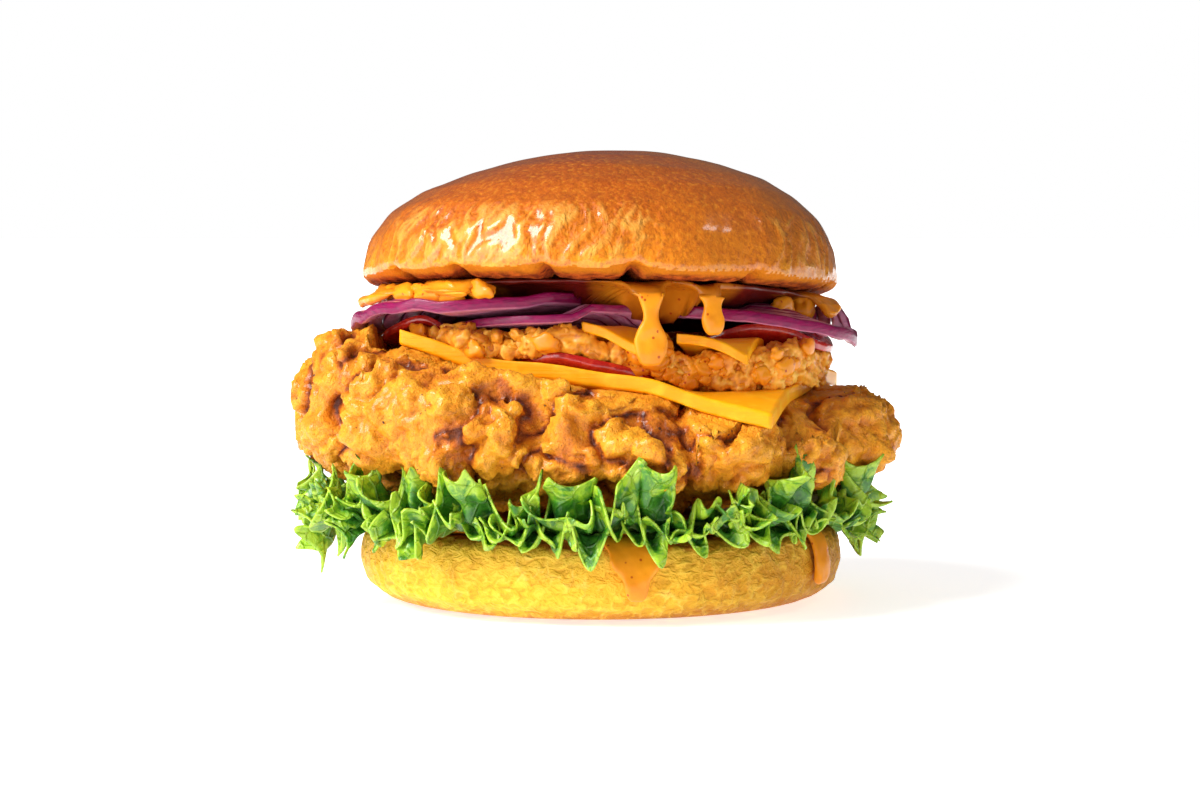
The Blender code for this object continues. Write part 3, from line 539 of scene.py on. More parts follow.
def fry(piece, sizes, sink, coarse, fine, seed, scale=1.0):
    """Gives a closed piece a craggy fried crust: lobes first, then, on a fresh mesh, plates and grain."""
    shift = Vector((seed, seed * 2, seed * 3))
    noise.seed_set(CRUST_SEED)
    remesh(piece, coarse, 6)
    places, facings = points(piece)
    for index, place in enumerate(places):
        height = crust_height(Vector(place) / scale + shift, sizes)[0]
        places[index] += facings[index] * (height * scale - sink) * 0.7
    move(piece, places)
    remesh(piece, fine, 1)
    places, facings = points(piece)
    depths, crags = [], []
    for index, place in enumerate(places):
        where = Vector(place) / scale + shift
        height, lobe, crag = crust_height(where, sizes)
        grain = crust_grain(where)
        places[index] += facings[index] * ((height * scale - sink) * 0.3 + (grain - 0.5) * scale**0.5)
        depths.append(lobe)
        # crag is low in the cracks between plates and high on raised grain; the colour turns it into painted shade.
        crags.append(crag * 0.65 + grain * 0.5)
    move(piece, places)
    keep(piece, "depth", depths)
    keep(piece, "crag", crags)


def crust_colour(tree, colours):
    """Base colour of fried crust: golden on the lobes with paler plates, darkened as painted shade into the crevices
    and the cracks between plates.
    """
    # Painted shade: the colour darkens from the lobe tops into the crevices and the cracks between plates.
    crag = tree.fit(tree.read("crag"), 0.1, 1.0, 0.35, 1.0)
    level = tree.math("MULTIPLY", tree.fit(tree.read("depth"), 0.0, 0.7), crag)
    level = tree.math("ADD", level, tree.fit(tree.noise(4, 4, 0.6, 0.8), 0.3, 0.7, -0.2, 0.16))
    body = tree.ramp(
        level,
        (0.04, colours.crust_crevice_shade), (0.28, colours.crust_mid), (0.55, colours.crust), (0.95, colours.crust_pale),
    )
    body = tree.mix(tree.fit(tree.noise(9, 3, 0.5, 0.5), 0.55, 0.72, 0.0, 0.5), body, linear("dd7a22"))
    return tree.mix(tree.fit(tree.noise(0.8, 3, 0.7), 0.55, 0.78, 0.0, 0.45), body, linear("a8521a"))


def crust_material(colours):
    """Deep-fried coating with a light sheen of oil."""
    tree = Tree(
        "fried_crust", Roughness=0.5, Specular_IOR_Level=0.2, Coat_Weight=0.32, Coat_Roughness=0.18,
        Subsurface_Weight=0.05, Subsurface_Scale=1.0 * MM,
    )
    tree.shader.inputs["Subsurface Radius"].default_value = (1.0, 0.45, 0.15)
    tree.join(crust_colour(tree, colours), "Base Color")
    fine = tree.bump(tree.noise(0.8, 3, 0.65), 0.45, 0.8)
    tree.join(tree.bump(tree.noise(2.0, 4, 0.65, 1.4), 1.25, 0.9, fine), "Normal")
    return tree.material


CHEESE_CLEAR = (0.0, 2.0, 4.0, 6.0, 8.0, 10.0)  # how far outside the cheese the crust stays below it


def fillet_piece(sizes):
    piece = node_copy("fillet", "fried_fillet")
    fry(piece, sizes, 4.0, 1.1, sizes.crust_grain / MM, 11.0)
    places, _ = points(piece)
    cheese, bare = surface("cheese_slice"), surface("fillet")
    for index, (x, y, z) in enumerate(places):
        if z < 36:
            continue
        radius = math.hypot(x, y)
        for step in CHEESE_CLEAR:
            inward = max(0.0, 1 - step / radius)
            under = height_at(cheese, x * inward, y * inward, down=False)
            if under is not None:
                top = height_at(bare, x, y) or z
                limit = min(under - 0.2, top + 0.3) if step else under - 0.2
                places[index][2] = min(z, limit + 0.35 * (z - limit) * (step / CHEESE_CLEAR[-1]) ** 2)
                break
    move(piece, places)
    return piece


# ---------------------------------------------------------------- slices


def smooth_copy(node, name, levels, sharp):
    """A CAD node's form with its facets smoothed, and its edges as sharp as asked."""
    piece = node_copy(node, name)
    bpy.ops.object.mode_set(mode="EDIT")
    bpy.ops.mesh.select_all(action="SELECT")
    bpy.ops.mesh.tris_convert_to_quads(face_threshold=math.radians(60), shape_threshold=math.radians(60))
    bpy.ops.object.mode_set(mode="OBJECT")
    form = bmesh.new()
    form.from_mesh(piece.data)
    crease = form.edges.layers.float.new("crease_edge")
    for edge in form.edges:
        if edge.calc_face_angle(0.0) > math.radians(50):
            edge[crease] = sharp
    form.to_mesh(piece.data)
    form.free()
    modify(piece, "SUBSURF", levels=levels, render_levels=levels)
    return piece


def cheese_piece(node, name):
    piece = smooth_copy(node, name, 3, 0.72)
    places, facings = points(piece)
    for index, place in enumerate(places):
        places[index] += facings[index] * (0.16 * noise.noise(Vector(place) / 6) + 0.05 * noise.noise(Vector(place) / 1.6))
    move(piece, places)
    return piece


def cheese_material(colours):
    """Cheddar: smooth and waxy, with faint layers along its cut edges."""
    tree = Tree("cheddar", Roughness=0.36, Specular_IOR_Level=0.3, Subsurface_Weight=0.2, Subsurface_Scale=2.0 * MM)
    tree.shader.inputs["Subsurface Radius"].default_value = (1.0, 0.6, 0.1)
    layers = tree.noise(5, 2, 0.5, 0.0, (0.4, 0.4, 9))
    body = tree.mix(tree.fit(layers, 0.4, 0.65, 0.0, 0.6), colours.cheese, linear("f0a008"))
    body = tree.mix(tree.fit(tree.noise(4, 3, 0.5), 0.5, 0.75, 0.0, 0.5), body, linear("ffd030"))
    tree.join(body, "Base Color")
    tree.join(tree.bump(layers, 0.22, 0.6, tree.bump(tree.noise(1.2, 2, 0.5), 0.05, 0.5)), "Normal")
    return tree.material


def tomato_piece(node, name):
    piece = smooth_copy(node, name, 3, 0.45)
    places, facings = points(piece)
    for index, place in enumerate(places):
        places[index] += facings[index] * 0.18 * noise.noise(Vector(place) / 3.2)
    move(piece, places)
    return piece


def tomato_material(colours):
    """Ripe tomato: wet red flesh with paler streaks and a glossy skin."""
    tree = Tree("tomato_flesh", Roughness=0.22, Subsurface_Weight=0.4, Subsurface_Scale=2.5 * MM, Coat_Weight=0.6, Coat_Roughness=0.08)
    tree.shader.inputs["Subsurface Radius"].default_value = (1.0, 0.15, 0.08)
    streak = tree.noise(3, 4, 0.6, 1.0)
    body = tree.mix(tree.fit(streak, 0.45, 0.7, 0.0, 0.7), colours.tomato, linear("d84a2c"))
    tree.join(body, "Base Color")
    tree.join(tree.bump(streak, 0.2, 0.6), "Normal")
    return tree.material


RING_TURNS = 96  # steps around a ring of onion
RING_PROFILE = 20  # steps around the section of a ring


def onion_piece(node, name, rings, seed):
    """A slice of red onion as its separate rings, each a rounded band that follows the slice's two faces."""
    tree = surface(node)
    low, high = [Vector(corner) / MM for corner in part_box(node)]
    x, y = (low.x + high.x) / 2, (low.y + high.y) / 2
    radius = (high.x - low.x + high.y - low.y) / 4
    centre_top = height_at(tree, x, y)
    thick = centre_top - height_at(tree, x, y, down=False)

    def level(azimuth, out):
        """Middle height of the slice, carried on outwards in a straight line near its edge."""
        away = Vector((math.cos(azimuth), math.sin(azimuth)))
        steps = (min(out, radius * 0.86), radius * 0.7)
        tops = [height_at(tree, x + away.x * step, y + away.y * step) for step in steps]
        tops = [centre_top if top is None else top for top in tops]
        slope = (tops[0] - tops[1]) / (radius * 0.16) if out > radius * 0.86 else 0.0
        return tops[0] - thick * 0.42 + slope * (out - steps[0])

    parts, skins, depths = [], [], []
    faces = []
    chance = random.Random(seed)
    edges = [radius * (0.22 + 0.78 * (k / rings) ** 0.9) for k in range(rings + 1)]
    for ring in range(rings):
        inner, outer = edges[ring] + 0.12, edges[ring + 1] - 0.12
        half = thick * 0.4 - 0.1 * chance.random()
        lift = chance.uniform(-0.1, 0.1)
        start = len(parts)
        for turn in range(RING_TURNS):
            azimuth = 2 * math.pi * turn / RING_TURNS
            wobble = 1 + 0.012 * noise.noise(Vector((math.cos(azimuth) * 2, math.sin(azimuth) * 2, seed + ring * 0.2)))
            for step in range(RING_PROFILE):
                angle = 2 * math.pi * step / RING_PROFILE
                across = math.copysign(abs(math.cos(angle)) ** 0.42, math.cos(angle))
                rise = math.copysign(abs(math.sin(angle)) ** 0.42, math.sin(angle))
                out = ((inner + outer) / 2 + across * (outer - inner) / 2) * wobble
                out = min(out, radius - 0.05)
                height = level(azimuth, out) + rise * half + lift
                parts.append((x + math.cos(azimuth) * out, y + math.sin(azimuth) * out, height))
                skins.append(ease(across, 0.3, 0.85) * (1.0 if ring == rings - 1 else 0.6))
                depths.append(rise * 0.5 + 0.5)
        for turn in range(RING_TURNS):
            for step in range(RING_PROFILE):
                onward, around = (turn + 1) % RING_TURNS, (step + 1) % RING_PROFILE
                a, b = start + turn * RING_PROFILE, start + onward * RING_PROFILE
                faces.append((a + step, b + step, b + around, a + around))
    mesh = bpy.data.meshes.new(name)
    mesh.from_pydata([Vector(part) * MM for part in parts], [], faces)
    piece = bpy.data.objects.new(name, mesh)
    bpy.context.scene.collection.objects.link(piece)
    keep(piece, "skin", skins)
    keep(piece, "depth", depths)
    return piece


def onion_material(colours):
    """Red onion: pale juicy rings, each with a purple skin on its outer side."""
    tree = Tree("red_onion", Roughness=0.3, Specular_IOR_Level=0.2, Subsurface_Weight=0.1, Subsurface_Scale=1.0 * MM, Coat_Weight=0.35, Coat_Roughness=0.08)
    tree.shader.inputs["Subsurface Radius"].default_value = (1.0, 0.4, 0.7)
    fibres = tree.noise(2.2, 4, 0.6, 0.3, (1, 1, 4))
    flesh = tree.mix(tree.fit(fibres, 0.4, 0.7, 0.0, 0.6), colours.onion_flesh, linear("b8608e"))
    skin = tree.mix(tree.fit(fibres, 0.4, 0.7, 0.0, 0.7), colours.onion_skin, linear("56083a"))
    share = tree.fit(tree.read("skin"), 0.1, 0.45)
    share = tree.math("MULTIPLY", share, tree.fit(tree.read("depth"), 0.02, 0.16))
    tree.join(tree.mix(share, flesh, skin), "Base Color")
    tree.join(tree.bump(fibres, 0.4, 0.8), "Normal")
    return tree.material


# ---------------------------------------------------------------- fried bits


def lump(seed, size, detail=3):
    """Places and triangles of one craggy crumb, as wide as asked, about its own middle."""
    form = bmesh.new()
    bmesh.ops.create_icosphere(form, subdivisions=detail, radius=1.0)
    shift = Vector((seed * 3.1, seed * 1.7, seed * 2.3))
    stretch = Vector((1.0, 0.72 + 0.25 * noise.cell(shift), 0.62 + 0.2 * noise.cell(shift * 2)))
    for vertex in form.verts:
        away = vertex.co.normalized()
        gap, lift = cells(away * 1.15 + shift)
        swell = 0.72 + 0.2 * (1 - math.exp(-gap * 6)) + 0.22 * lift + 0.16 * noise.noise(away * 2.2 + shift)
        vertex.co = away * swell * size / 2 * stretch
    form.verts.ensure_lookup_table()
    places = [vertex.co.copy() for vertex in form.verts]
    faces = [tuple(vertex.index for vertex in face.verts) for face in form.faces]
    form.free()
    return places, faces


def scatter(name, forms, spots):
    """One piece out of many copies of a few forms. A spot is a form's number, a place and a turn."""
    parts, faces, shares = [], [], []
    for kind, place, turn, share in spots:
        start = len(parts)
        form_places, form_faces = forms[kind]
        parts += [place + turn @ part for part in form_places]
        faces += [tuple(start + corner for corner in face) for face in form_faces]
        shares += [share + 0.25 * part.length / 3 for part in form_places]
    mesh = bpy.data.meshes.new(name)
    mesh.from_pydata([part * MM for part in parts], [], faces)
    piece = bpy.data.objects.new(name, mesh)
    bpy.context.scene.collection.objects.link(piece)
    keep(piece, "share", shares)
    return piece


def any_turn(chance):
    axis = Vector((chance.uniform(-1, 1), chance.uniform(-1, 1), chance.uniform(-1, 1))).normalized()
    return Matrix.Rotation(chance.uniform(0, 2 * math.pi), 3, axis)


def crisps_core(sizes):
    """The heap of fried bits, a little inside its outline."""
    piece = node_copy("crispy_onion", "crispy_heap")
    fry(piece, sizes, 1.3, 0.8, 0.5, 31.0, 0.45)
    mesh = piece.data
    crags = np.empty(len(mesh.vertices), dtype=np.float32)
    mesh.attributes["crag"].data.foreach_get("value", crags)
    # The bits' colour reads the crags, so the cracks between plates get painted shade.
    keep(piece, "share", crags * 0.85 - 0.05)
    return piece


def crisps_loose(sizes):
    """Loose fried bits that fill the heap out to its outline."""
    tree = surface("crispy_onion")
    chance = random.Random(sizes.seed + 20)
    forms = [lump(seed, 1.0) for seed in range(1, 9)]
    spots = []
    for _ in range(2400):
        azimuth = chance.uniform(0, 360) if chance.random() < 0.35 else chance.uniform(-150, -10)
        low, high = 46.0, 62.3
        height = chance.uniform(low, high)
        radius = radius_at(tree, azimuth, height)
        if radius < 30:
            continue
        size = chance.choice((2.8, 3.6, 4.6, 5.6, 6.8))
        away = Vector((math.cos(math.radians(azimuth)), math.sin(math.radians(azimuth)), 0))
        place = away * (radius - size * chance.uniform(0.16, 0.42)) + Vector((0, 0, height - size * 0.1))
        if any((place - other).length < size * 0.42 for _, other, _, _ in spots):
            continue
        spots.append((chance.randrange(8), place, any_turn(chance) * size, chance.random() * 0.75))
        if len(spots) >= 220:
            break
    covers = [surface(node) for node in ("onion_slice_left", "onion_slice_lower", "tomato_slice_left")]
    for _ in range(400):
        azimuth = math.radians(chance.uniform(-146, -96))
        radius = chance.uniform(37, 44)
        x, y = radius * math.cos(azimuth), radius * math.sin(azimuth)
        floor = height_at(tree, x, y)
        roofs = [height_at(cover, x, y, down=False) for cover in covers]
        roof = min([found for found in roofs if found is not None], default=62.5)
        if floor is None or roof - floor < 1.2:
            continue
        size = min(5.6, roof - floor + chance.uniform(0.6, 2.0))
        place = Vector((x, y, (floor + roof) / 2 - 0.2))
        if any((place - other).length < size * 0.5 for _, other, _, _ in spots):
            continue
        spots.append((chance.randrange(8), place, any_turn(chance) * size, 0.3 + chance.random() * 0.6))
    return scatter("crispy_bits", forms, spots)


def crisps_material(colours):
    """Loose fried bits: brown and golden crumbs with a light sheen of oil and sauce."""
    tree = Tree("fried_bits", Roughness=0.42, Specular_IOR_Level=0.3, Coat_Weight=0.3, Coat_Roughness=0.2, Subsurface_Weight=0.1, Subsurface_Scale=1.0 * MM)
    level = tree.math("ADD", tree.read("share"), tree.fit(tree.noise(2.5, 3, 0.6, 0.5), 0.3, 0.7, -0.2, 0.2))
    body = tree.ramp(level, (0.0, linear("bc661a")), (0.3, linear("e08c20")), (0.6, linear("f2a42a")), (0.95, linear("fcc04c")))
    tree.join(body, "Base Color")
    tree.join(tree.bump(tree.noise(0.9, 3, 0.6), 0.15, 0.7), "Normal")
    return tree.material


# ---------------------------------------------------------------- sauce


PILE_NODES = (
    "crispy_onion", "cheese_piece_left", "cheese_piece_right", "tomato_slice_left", "tomato_slice_right",
    "onion_slice_lower", "onion_slice_left", "onion_slice_right", "onion_slice_back",
)
# Azimuth and half width of each drip in degrees, its length, and its width at four places along it. Under
# the crown also the half width in degrees of the smear it runs from, and how much that smear lifts the painted shade
CROWN_DRIPS = (
    (-158, 11.0, 5.0, (1.0, 1.0, 1.0, 1.0), 15.0, 1.0),
    (-133, 10.0, 3.5, (1.0, 1.0, 1.0, 1.0), 11.0, 1.0),
    (-77.5, 4.8, 17.5, (0.75, 0.42, 1.0, 1.15), 17.0, 0.6),
    (-61.0, 3.6, 10.5, (1.5, 0.8, 0.9, 1.0), 12.0, 0.6),
    (-14, 6.0, 6.0, (1.0, 1.0, 1.0, 1.0), 8.0, 0.8),
)
HEEL_DRIPS = (
    (-140, 4.5, 9.0, (1.2, 1.0, 0.9, 0.8)),
    (-82, 5.5, 16.0, (1.9, 1.3, 0.55, 0.55)),
    (-29, 3.6, 16.0, (1.2, 0.9, 0.8, 0.9)),
)
SAUCE_EDGE = 42.0  # radius of the sauce under the crown away from its drips
# Azimuth in degrees, radius, height and size of each dab between the crown and the onion
HANGING_DABS = (
    (-163, 50.0, 69.4, 8.5), (-155, 50.5, 69.2, 9.5), (-147, 50.5, 69.8, 9.0), (-139, 50.0, 70.4, 9.5),
    (-131, 49.0, 71.0, 8.5), (-123, 47.5, 71.6, 7.0), (-16, 47.5, 66.8, 10.5), (-29, 46.0, 67.2, 8.0),
)
DAB_ZONES = ((-150, -105, 12), (-78, -18, 34), (-18, 150, 14))  # azimuths from and to, number of dabs
SAUCE_FILL = 7.0  # most that the sauce under the crown fills down to the pile


def apart(one, other):
    """Degrees from one azimuth to another, between -180 and 180."""
    return (other - one + 180) % 360 - 180


def drip_width(widths, share):
    """Width of a drip some share of the way along it."""
    where = min(2.999, max(0.0, share * 3))
    step = int(where)
    return widths[step] + (widths[step + 1] - widths[step]) * ease(where - step)


def narrow(place, drips, top):
    """Turns a place on a drip about the axis, so that the drip gets its own width there."""
    azimuth = math.degrees(math.atan2(place.y, place.x))
    for middle, spread, length, widths in [drip[:4] for drip in drips]:
        off = apart(middle, azimuth)
        if abs(off) < spread * 2.0 and top > 0.8:
            scale = drip_width(widths, top / length)
            return Matrix.Rotation(math.radians(off * (scale - 1)), 3, "Z") @ place
    return place


def rough_sauce(piece):
    """Uneven thickness over a piece of sauce."""
    places, facings = points(piece)
    for index, place in enumerate(places):
        where = Vector(place)
        places[index] += facings[index] * (0.2 + 0.35 * noise.noise(where / 4.5) + 0.12 * noise.noise(where / 1.7))
    move(piece, places)


def crown_sauce():
    """Sauce under the crown: a ragged layer that sinks into the pile, with drips over its edge."""
    piece = smooth_copy("sauce_crown", "crown_drips", 3, 0.0)
    middle, up = cut_face("bun_crown")
    below = [surface(node) for node in PILE_NODES]
    places, facings = points(piece)
    inner = []
    for index, (spot, facing) in enumerate(zip(places, facings)):
        place = Vector(spot)
        depth = (middle - place).dot(up)
        radius = place.xy.length
        azimuth = math.degrees(math.atan2(place.y, place.x))
        near = max(math.exp(-((apart(drip[0], azimuth) / (drip[1] * 1.5)) ** 2)) for drip in CROWN_DRIPS)
        smear = max(
            drip[5] * math.exp(-((apart(drip[0], azimuth) / drip[4]) ** 4)) for drip in CROWN_DRIPS
        )
        if depth < 3.2:
            back = ease(place.y, -12, 10)
            edge = SAUCE_EDGE + 2.5 * noise.noise(Vector((azimuth / 9, 3, 1)))
            edge += (49 - SAUCE_EDGE) * max(back, 0.8 * ease(place.x, 14, 32))
            share = 1 - (1 - edge / 49) * (1 - near) * ease(radius, 20, 48)
            place.x, place.y = place.x * share, place.y * share
            if Vector(facing).dot(up) < -0.3:
                tops = [height_at(tree, place.x, place.y) for tree in below]
                gap = place.z - max([top for top in tops if top is not None], default=place.z - 3)
                wide = max(back, ease(place.x, 14, 32))
                deep = 1 - ease(radius, 34 + 8 * wide, 43 + 6 * wide)
                place.z -= max(0.0, min(gap - 0.1, SAUCE_FILL)) * deep
        else:
            place = narrow(place, CROWN_DRIPS, depth - 2.0)
        places[index] = place
        # Painted shade: away from the smears under its drips, the sauce under the crown is marked to be darkened.
        inner.append(1 - smear * ease(radius, 30, 40) if depth < 3.2 else 0.0)
    move(piece, places)
    rough_sauce(piece)
    keep(piece, "inner", inner)
    return piece


def heel_sauce():
    """Sauce on the heel, with drips down its side."""
    piece = smooth_copy("sauce_heel", "heel_drips", 3, 0.0)
    places, _ = points(piece)
    for index, spot in enumerate(places):
        place = Vector(spot)
        if place.xy.length > 46.5:
            places[index] = narrow(place, HEEL_DRIPS, 20.5 - place.z)
    move(piece, places)
    rough_sauce(piece)
    keep(piece, "inner", [0.0] * len(places))
    return piece


def blob(seed, size):
    """Places and triangles of a smooth dab of sauce."""
    form = bmesh.new()
    bmesh.ops.create_icosphere(form, subdivisions=3, radius=size / 2)
    shift = Vector((seed * 2.7, seed * 4.1, seed))
    for vertex in form.verts:
        away = vertex.co.normalized()
        vertex.co *= 1 + 0.45 * noise.noise(away * 1.3 + shift) + 0.15 * noise.noise(away * 3.1 + shift)
    form.verts.ensure_lookup_table()
    places = [vertex.co.copy() for vertex in form.verts]
    faces = [tuple(vertex.index for vertex in face.verts) for face in form.faces]
    form.free()
    return places, faces


def sauce_dabs(sizes):
    """Dabs of sauce that cling to the front of the fried bits."""
    tree = surface("crispy_onion")
    chance = random.Random(sizes.seed + 51)
    forms = [blob(seed, 1.0) for seed in range(1, 7)]
    spots = []
    for low, high, count in DAB_ZONES:
        for _ in range(count):
            azimuth = chance.uniform(low, high)
            away = Vector((math.cos(math.radians(azimuth)), math.sin(math.radians(azimuth)), 0))
            size = chance.uniform(3.0, 7.0)
            reach = [radius_at(tree, azimuth, 46 + step) for step in range(18)]
            found = [46 + step for step, radius in enumerate(reach) if radius > 30]
            height = chance.choice(found) + chance.uniform(0, 1)
            place = away * (radius_at(tree, azimuth, height) + 0.08 * size) + Vector((0, 0, height))
            turned = Matrix.Rotation(math.radians(azimuth), 3, "Z")
            spots.append((chance.randrange(6), place, turned @ Matrix.Diagonal((0.5, 1.0, 0.75)) * size, 0.0))
    for number, (azimuth, radius, height, size) in enumerate(HANGING_DABS):
        turned = Matrix.Rotation(math.radians(azimuth), 3, "Z")
        place = turned @ Vector((radius, 0, height))
        spots.append((number % 6, place, turned @ Matrix.Diagonal((0.5, 1.0, 0.6)) * size, 0.0))
    piece = scatter("sauce_dabs", forms, spots)
    keep(piece, "inner", [0.0] * len(piece.data.vertices))
    return piece


def sauce_material(colours):
    """Creamy chilli sauce: opaque and glossy, with red flecks of pepper."""
    tree = Tree("creamy_sauce", Roughness=0.32, Specular_IOR_Level=0.2, Coat_Weight=0.25, Coat_Roughness=0.1, Subsurface_Weight=0.12, Subsurface_Scale=2.0 * MM)
    tree.shader.inputs["Subsurface Radius"].default_value = (1.0, 0.5, 0.2)
    body = tree.mix(tree.fit(tree.noise(5, 3, 0.5, 0.5), 0.4, 0.7, 0.0, 0.6), colours.sauce, linear("d97c14"))
    flecks = tree.add("TexVoronoi", Vector=tree.place(1.3), Scale=1.0, Randomness=1.0)
    chosen = tree.math("GREATER_THAN", flecks.outputs["Color"], 0.72)
    fleck = tree.math("MULTIPLY", tree.fit(flecks.outputs["Distance"], 0.3, 0.18), chosen)
    body = tree.mix(tree.math("MULTIPLY", fleck, 0.85), body, linear("b02a08"))
    # Painted shade: sauce marked inner is darkened to a deep red-brown.
    body = tree.mix(tree.fit(tree.read("inner"), 0.0, 0.8), body, linear("5e1208"))
    tree.join(body, "Base Color")
    tree.join(tree.bump(tree.noise(2.4, 3, 0.5), 0.2, 0.5), "Normal")
    return tree.material


# ---------------------------------------------------------------- lettuce

# Middle azimuth of each leaf in degrees, height and ruffle of its margin and the margin's radius
LEAVES = (
    (-172, 21.0, 9.5, 67.5),
    (-127, 27.0, 10.0, 64.0),
    (-82, 27.0, 10.0, 62.0),
    (-37, 27.0, 10.0, 62.0),
    (8, 19.0, 9.5, 61.5),
    (53, 23.0, 8.5, 61.0),
    (98, 23.0, 8.5, 60.0),
    (143, 23.0, 8.5, 62.0),
)
LEAF_SPAN = 43.2  # degrees
LEAF_RUFFLES = 1.8  # large waves along a leaf
LEAF_BED = 20.6  # height of the flat of a leaf
LEAF_BED_RADIUS = 49.0
LEAF_LENGTH = 56.0  # along a leaf's margin
LEAF_ALONG = 170  # steps along a leaf's margin
LEAF_ACROSS = 22  # steps from the flat to the margin
LEAF_LAYERS = ((0.0, 1.0, 0.0), (0.5, 0.8, 2.2), (0.25, 0.45, 0.6))  # phase, share of the rise, inset


def leaf_margin(number, share):
    """Height and radius of a leaf's margin, without its fine ruffles."""
    middle, margin, ruffle, radius = LEAVES[number]
    angle = 2 * math.pi * LEAF_RUFFLES * share + math.radians(middle * 3)
    edge = 0.4 + 0.6 * math.sin(math.pi * min(1.0, max(0.0, share))) ** 0.6
    swing = math.tanh(1.4 * math.sin(angle) + 0.3 * math.sin(1.7 * angle))
    return margin + ruffle * edge * swing, radius + 0.8 * (1 + math.cos(angle))


def leaf_points(chance, length):
    """Points along a margin: place, reach outwards and swing across the blade in millimetres, and a slide."""
    found, along, way = [], -5.0, chance.choice((-1, 1))
    while along < length + 9:
        found.append((along, chance.uniform(0.8, 4.6), way * chance.uniform(0.8, 4.2), chance.uniform(-2.2, 2.2)))
        along += chance.uniform(1.9, 4.6)
        if chance.random() < 0.8:
            way = -way
    return found


def leaf_lobe(found, arc):
    """Reach, swing and slide of a margin between two of its points, with a round bay between them."""
    for before, after in zip(found, found[1:]):
        if arc < after[0]:
            break
    share = (arc - before[0]) / (after[0] - before[0])
    soft = ease(share)
    reach = (before[1] + (after[1] - before[1]) * share) * abs(2 * share - 1) ** 1.5
    return reach, before[2] + (after[2] - before[2]) * soft, before[3] + (after[3] - before[3]) * soft


def leaf_piece(number, sizes, clear):
    """A lettuce leaf: a flat blade that breaks into large ruffles, smaller ones and a margin of points."""
    middle = LEAVES[number][0]
    chance = random.Random(sizes.seed * 100 + number)
    fine = sizes.ruffle / MM
    parts, edges = [], []
    for layer, (shift, rise_share, inset) in enumerate(LEAF_LAYERS):
        phases = [chance.uniform(0, 2 * math.pi) for _ in range(3)]
        found = leaf_points(chance, LEAF_LENGTH)
        seed = Vector((number * 5.1 + layer * 31, layer * 7.7, 2.0))
        for along in range(LEAF_ALONG + 1):
            share = along / LEAF_ALONG
            azimuth = middle + (LEAF_SPAN + 6) * (share - 0.5)
            arc = share * LEAF_LENGTH
            tall, wide = leaf_margin(number, share + shift / LEAF_RUFFLES)
            tall = LEAF_BED + (tall - LEAF_BED) * rise_share
            wide -= inset
            quick = noise.noise(Vector((arc / 9, layer * 3, number))) * 2.4
            reach, lean, drift = leaf_lobe(found, arc)
            wave = 2 * math.pi * arc / 8.2 + quick + phases[0]
            bend = math.sin(wave) + 0.4 * math.sin(1.7 * wave + phases[2])
            for across in range(LEAF_ACROSS + 1):
                v = across / LEAF_ACROSS
                height = LEAF_BED + (tall - LEAF_BED) * v**1.6
                radius = LEAF_BED_RADIUS + (wide - LEAF_BED_RADIUS) * v**0.55
                slope_up = (tall - LEAF_BED) * 1.6 * max(v, 0.02) ** 0.6
                slope_out = (wide - LEAF_BED_RADIUS) * 0.55 * max(v, 0.02) ** -0.45
                size = math.hypot(slope_up, slope_out)
                facing = (-slope_up / size, slope_out / size)
                onward = (slope_out / size, slope_up / size)
                swing = fine * v**1.4 * bend + lean * v**2.2
                swing += 2.0 * noise.noise(Vector((arc / 4.2, v * 4, number)) + seed) * ease(v, 0.1, 0.5)
                stretch = reach * ease(v, 0.4, 1.0) - 1.6 * ease(v, 0.5, 1.0)
                swing += 0.05 * lean * stretch * v
                slide = fine * 0.8 * v**2.4 * math.cos(wave + 0.5) + drift * v**3
                radius += facing[0] * swing + onward[0] * stretch
                height += facing[1] * swing + onward[1] * stretch
                turned = azimuth + math.degrees(slide / max(radius, 1.0))
                if v > 0.12:
                    radius = max(radius, clear(turned, height) + 0.45)
                away = Vector((math.cos(math.radians(turned)), math.sin(math.radians(turned)), 0))
                parts.append(away * radius + Vector((0, 0, height)))
                edges.append(v)
    faces = []
    row, sheet = LEAF_ACROSS + 1, (LEAF_ALONG + 1) * (LEAF_ACROSS + 1)
    for layer in range(len(LEAF_LAYERS)):
        for along in range(LEAF_ALONG):
            for across in range(LEAF_ACROSS):
                a = layer * sheet + along * row + across
                faces.append((a, a + row, a + row + 1, a + 1))
    mesh = bpy.data.meshes.new("lettuce")
    mesh.from_pydata([part * MM for part in parts], [], faces)
    piece = bpy.data.objects.new("lettuce_%d" % (number + 1), mesh)
    bpy.context.scene.collection.objects.link(piece)
    keep(piece, "edge", edges)
    modify(piece, "SMOOTH", factor=0.5, iterations=1)
    modify(piece, "SOLIDIFY", thickness=sizes.leaf_thickness, offset=0.0)
    return piece


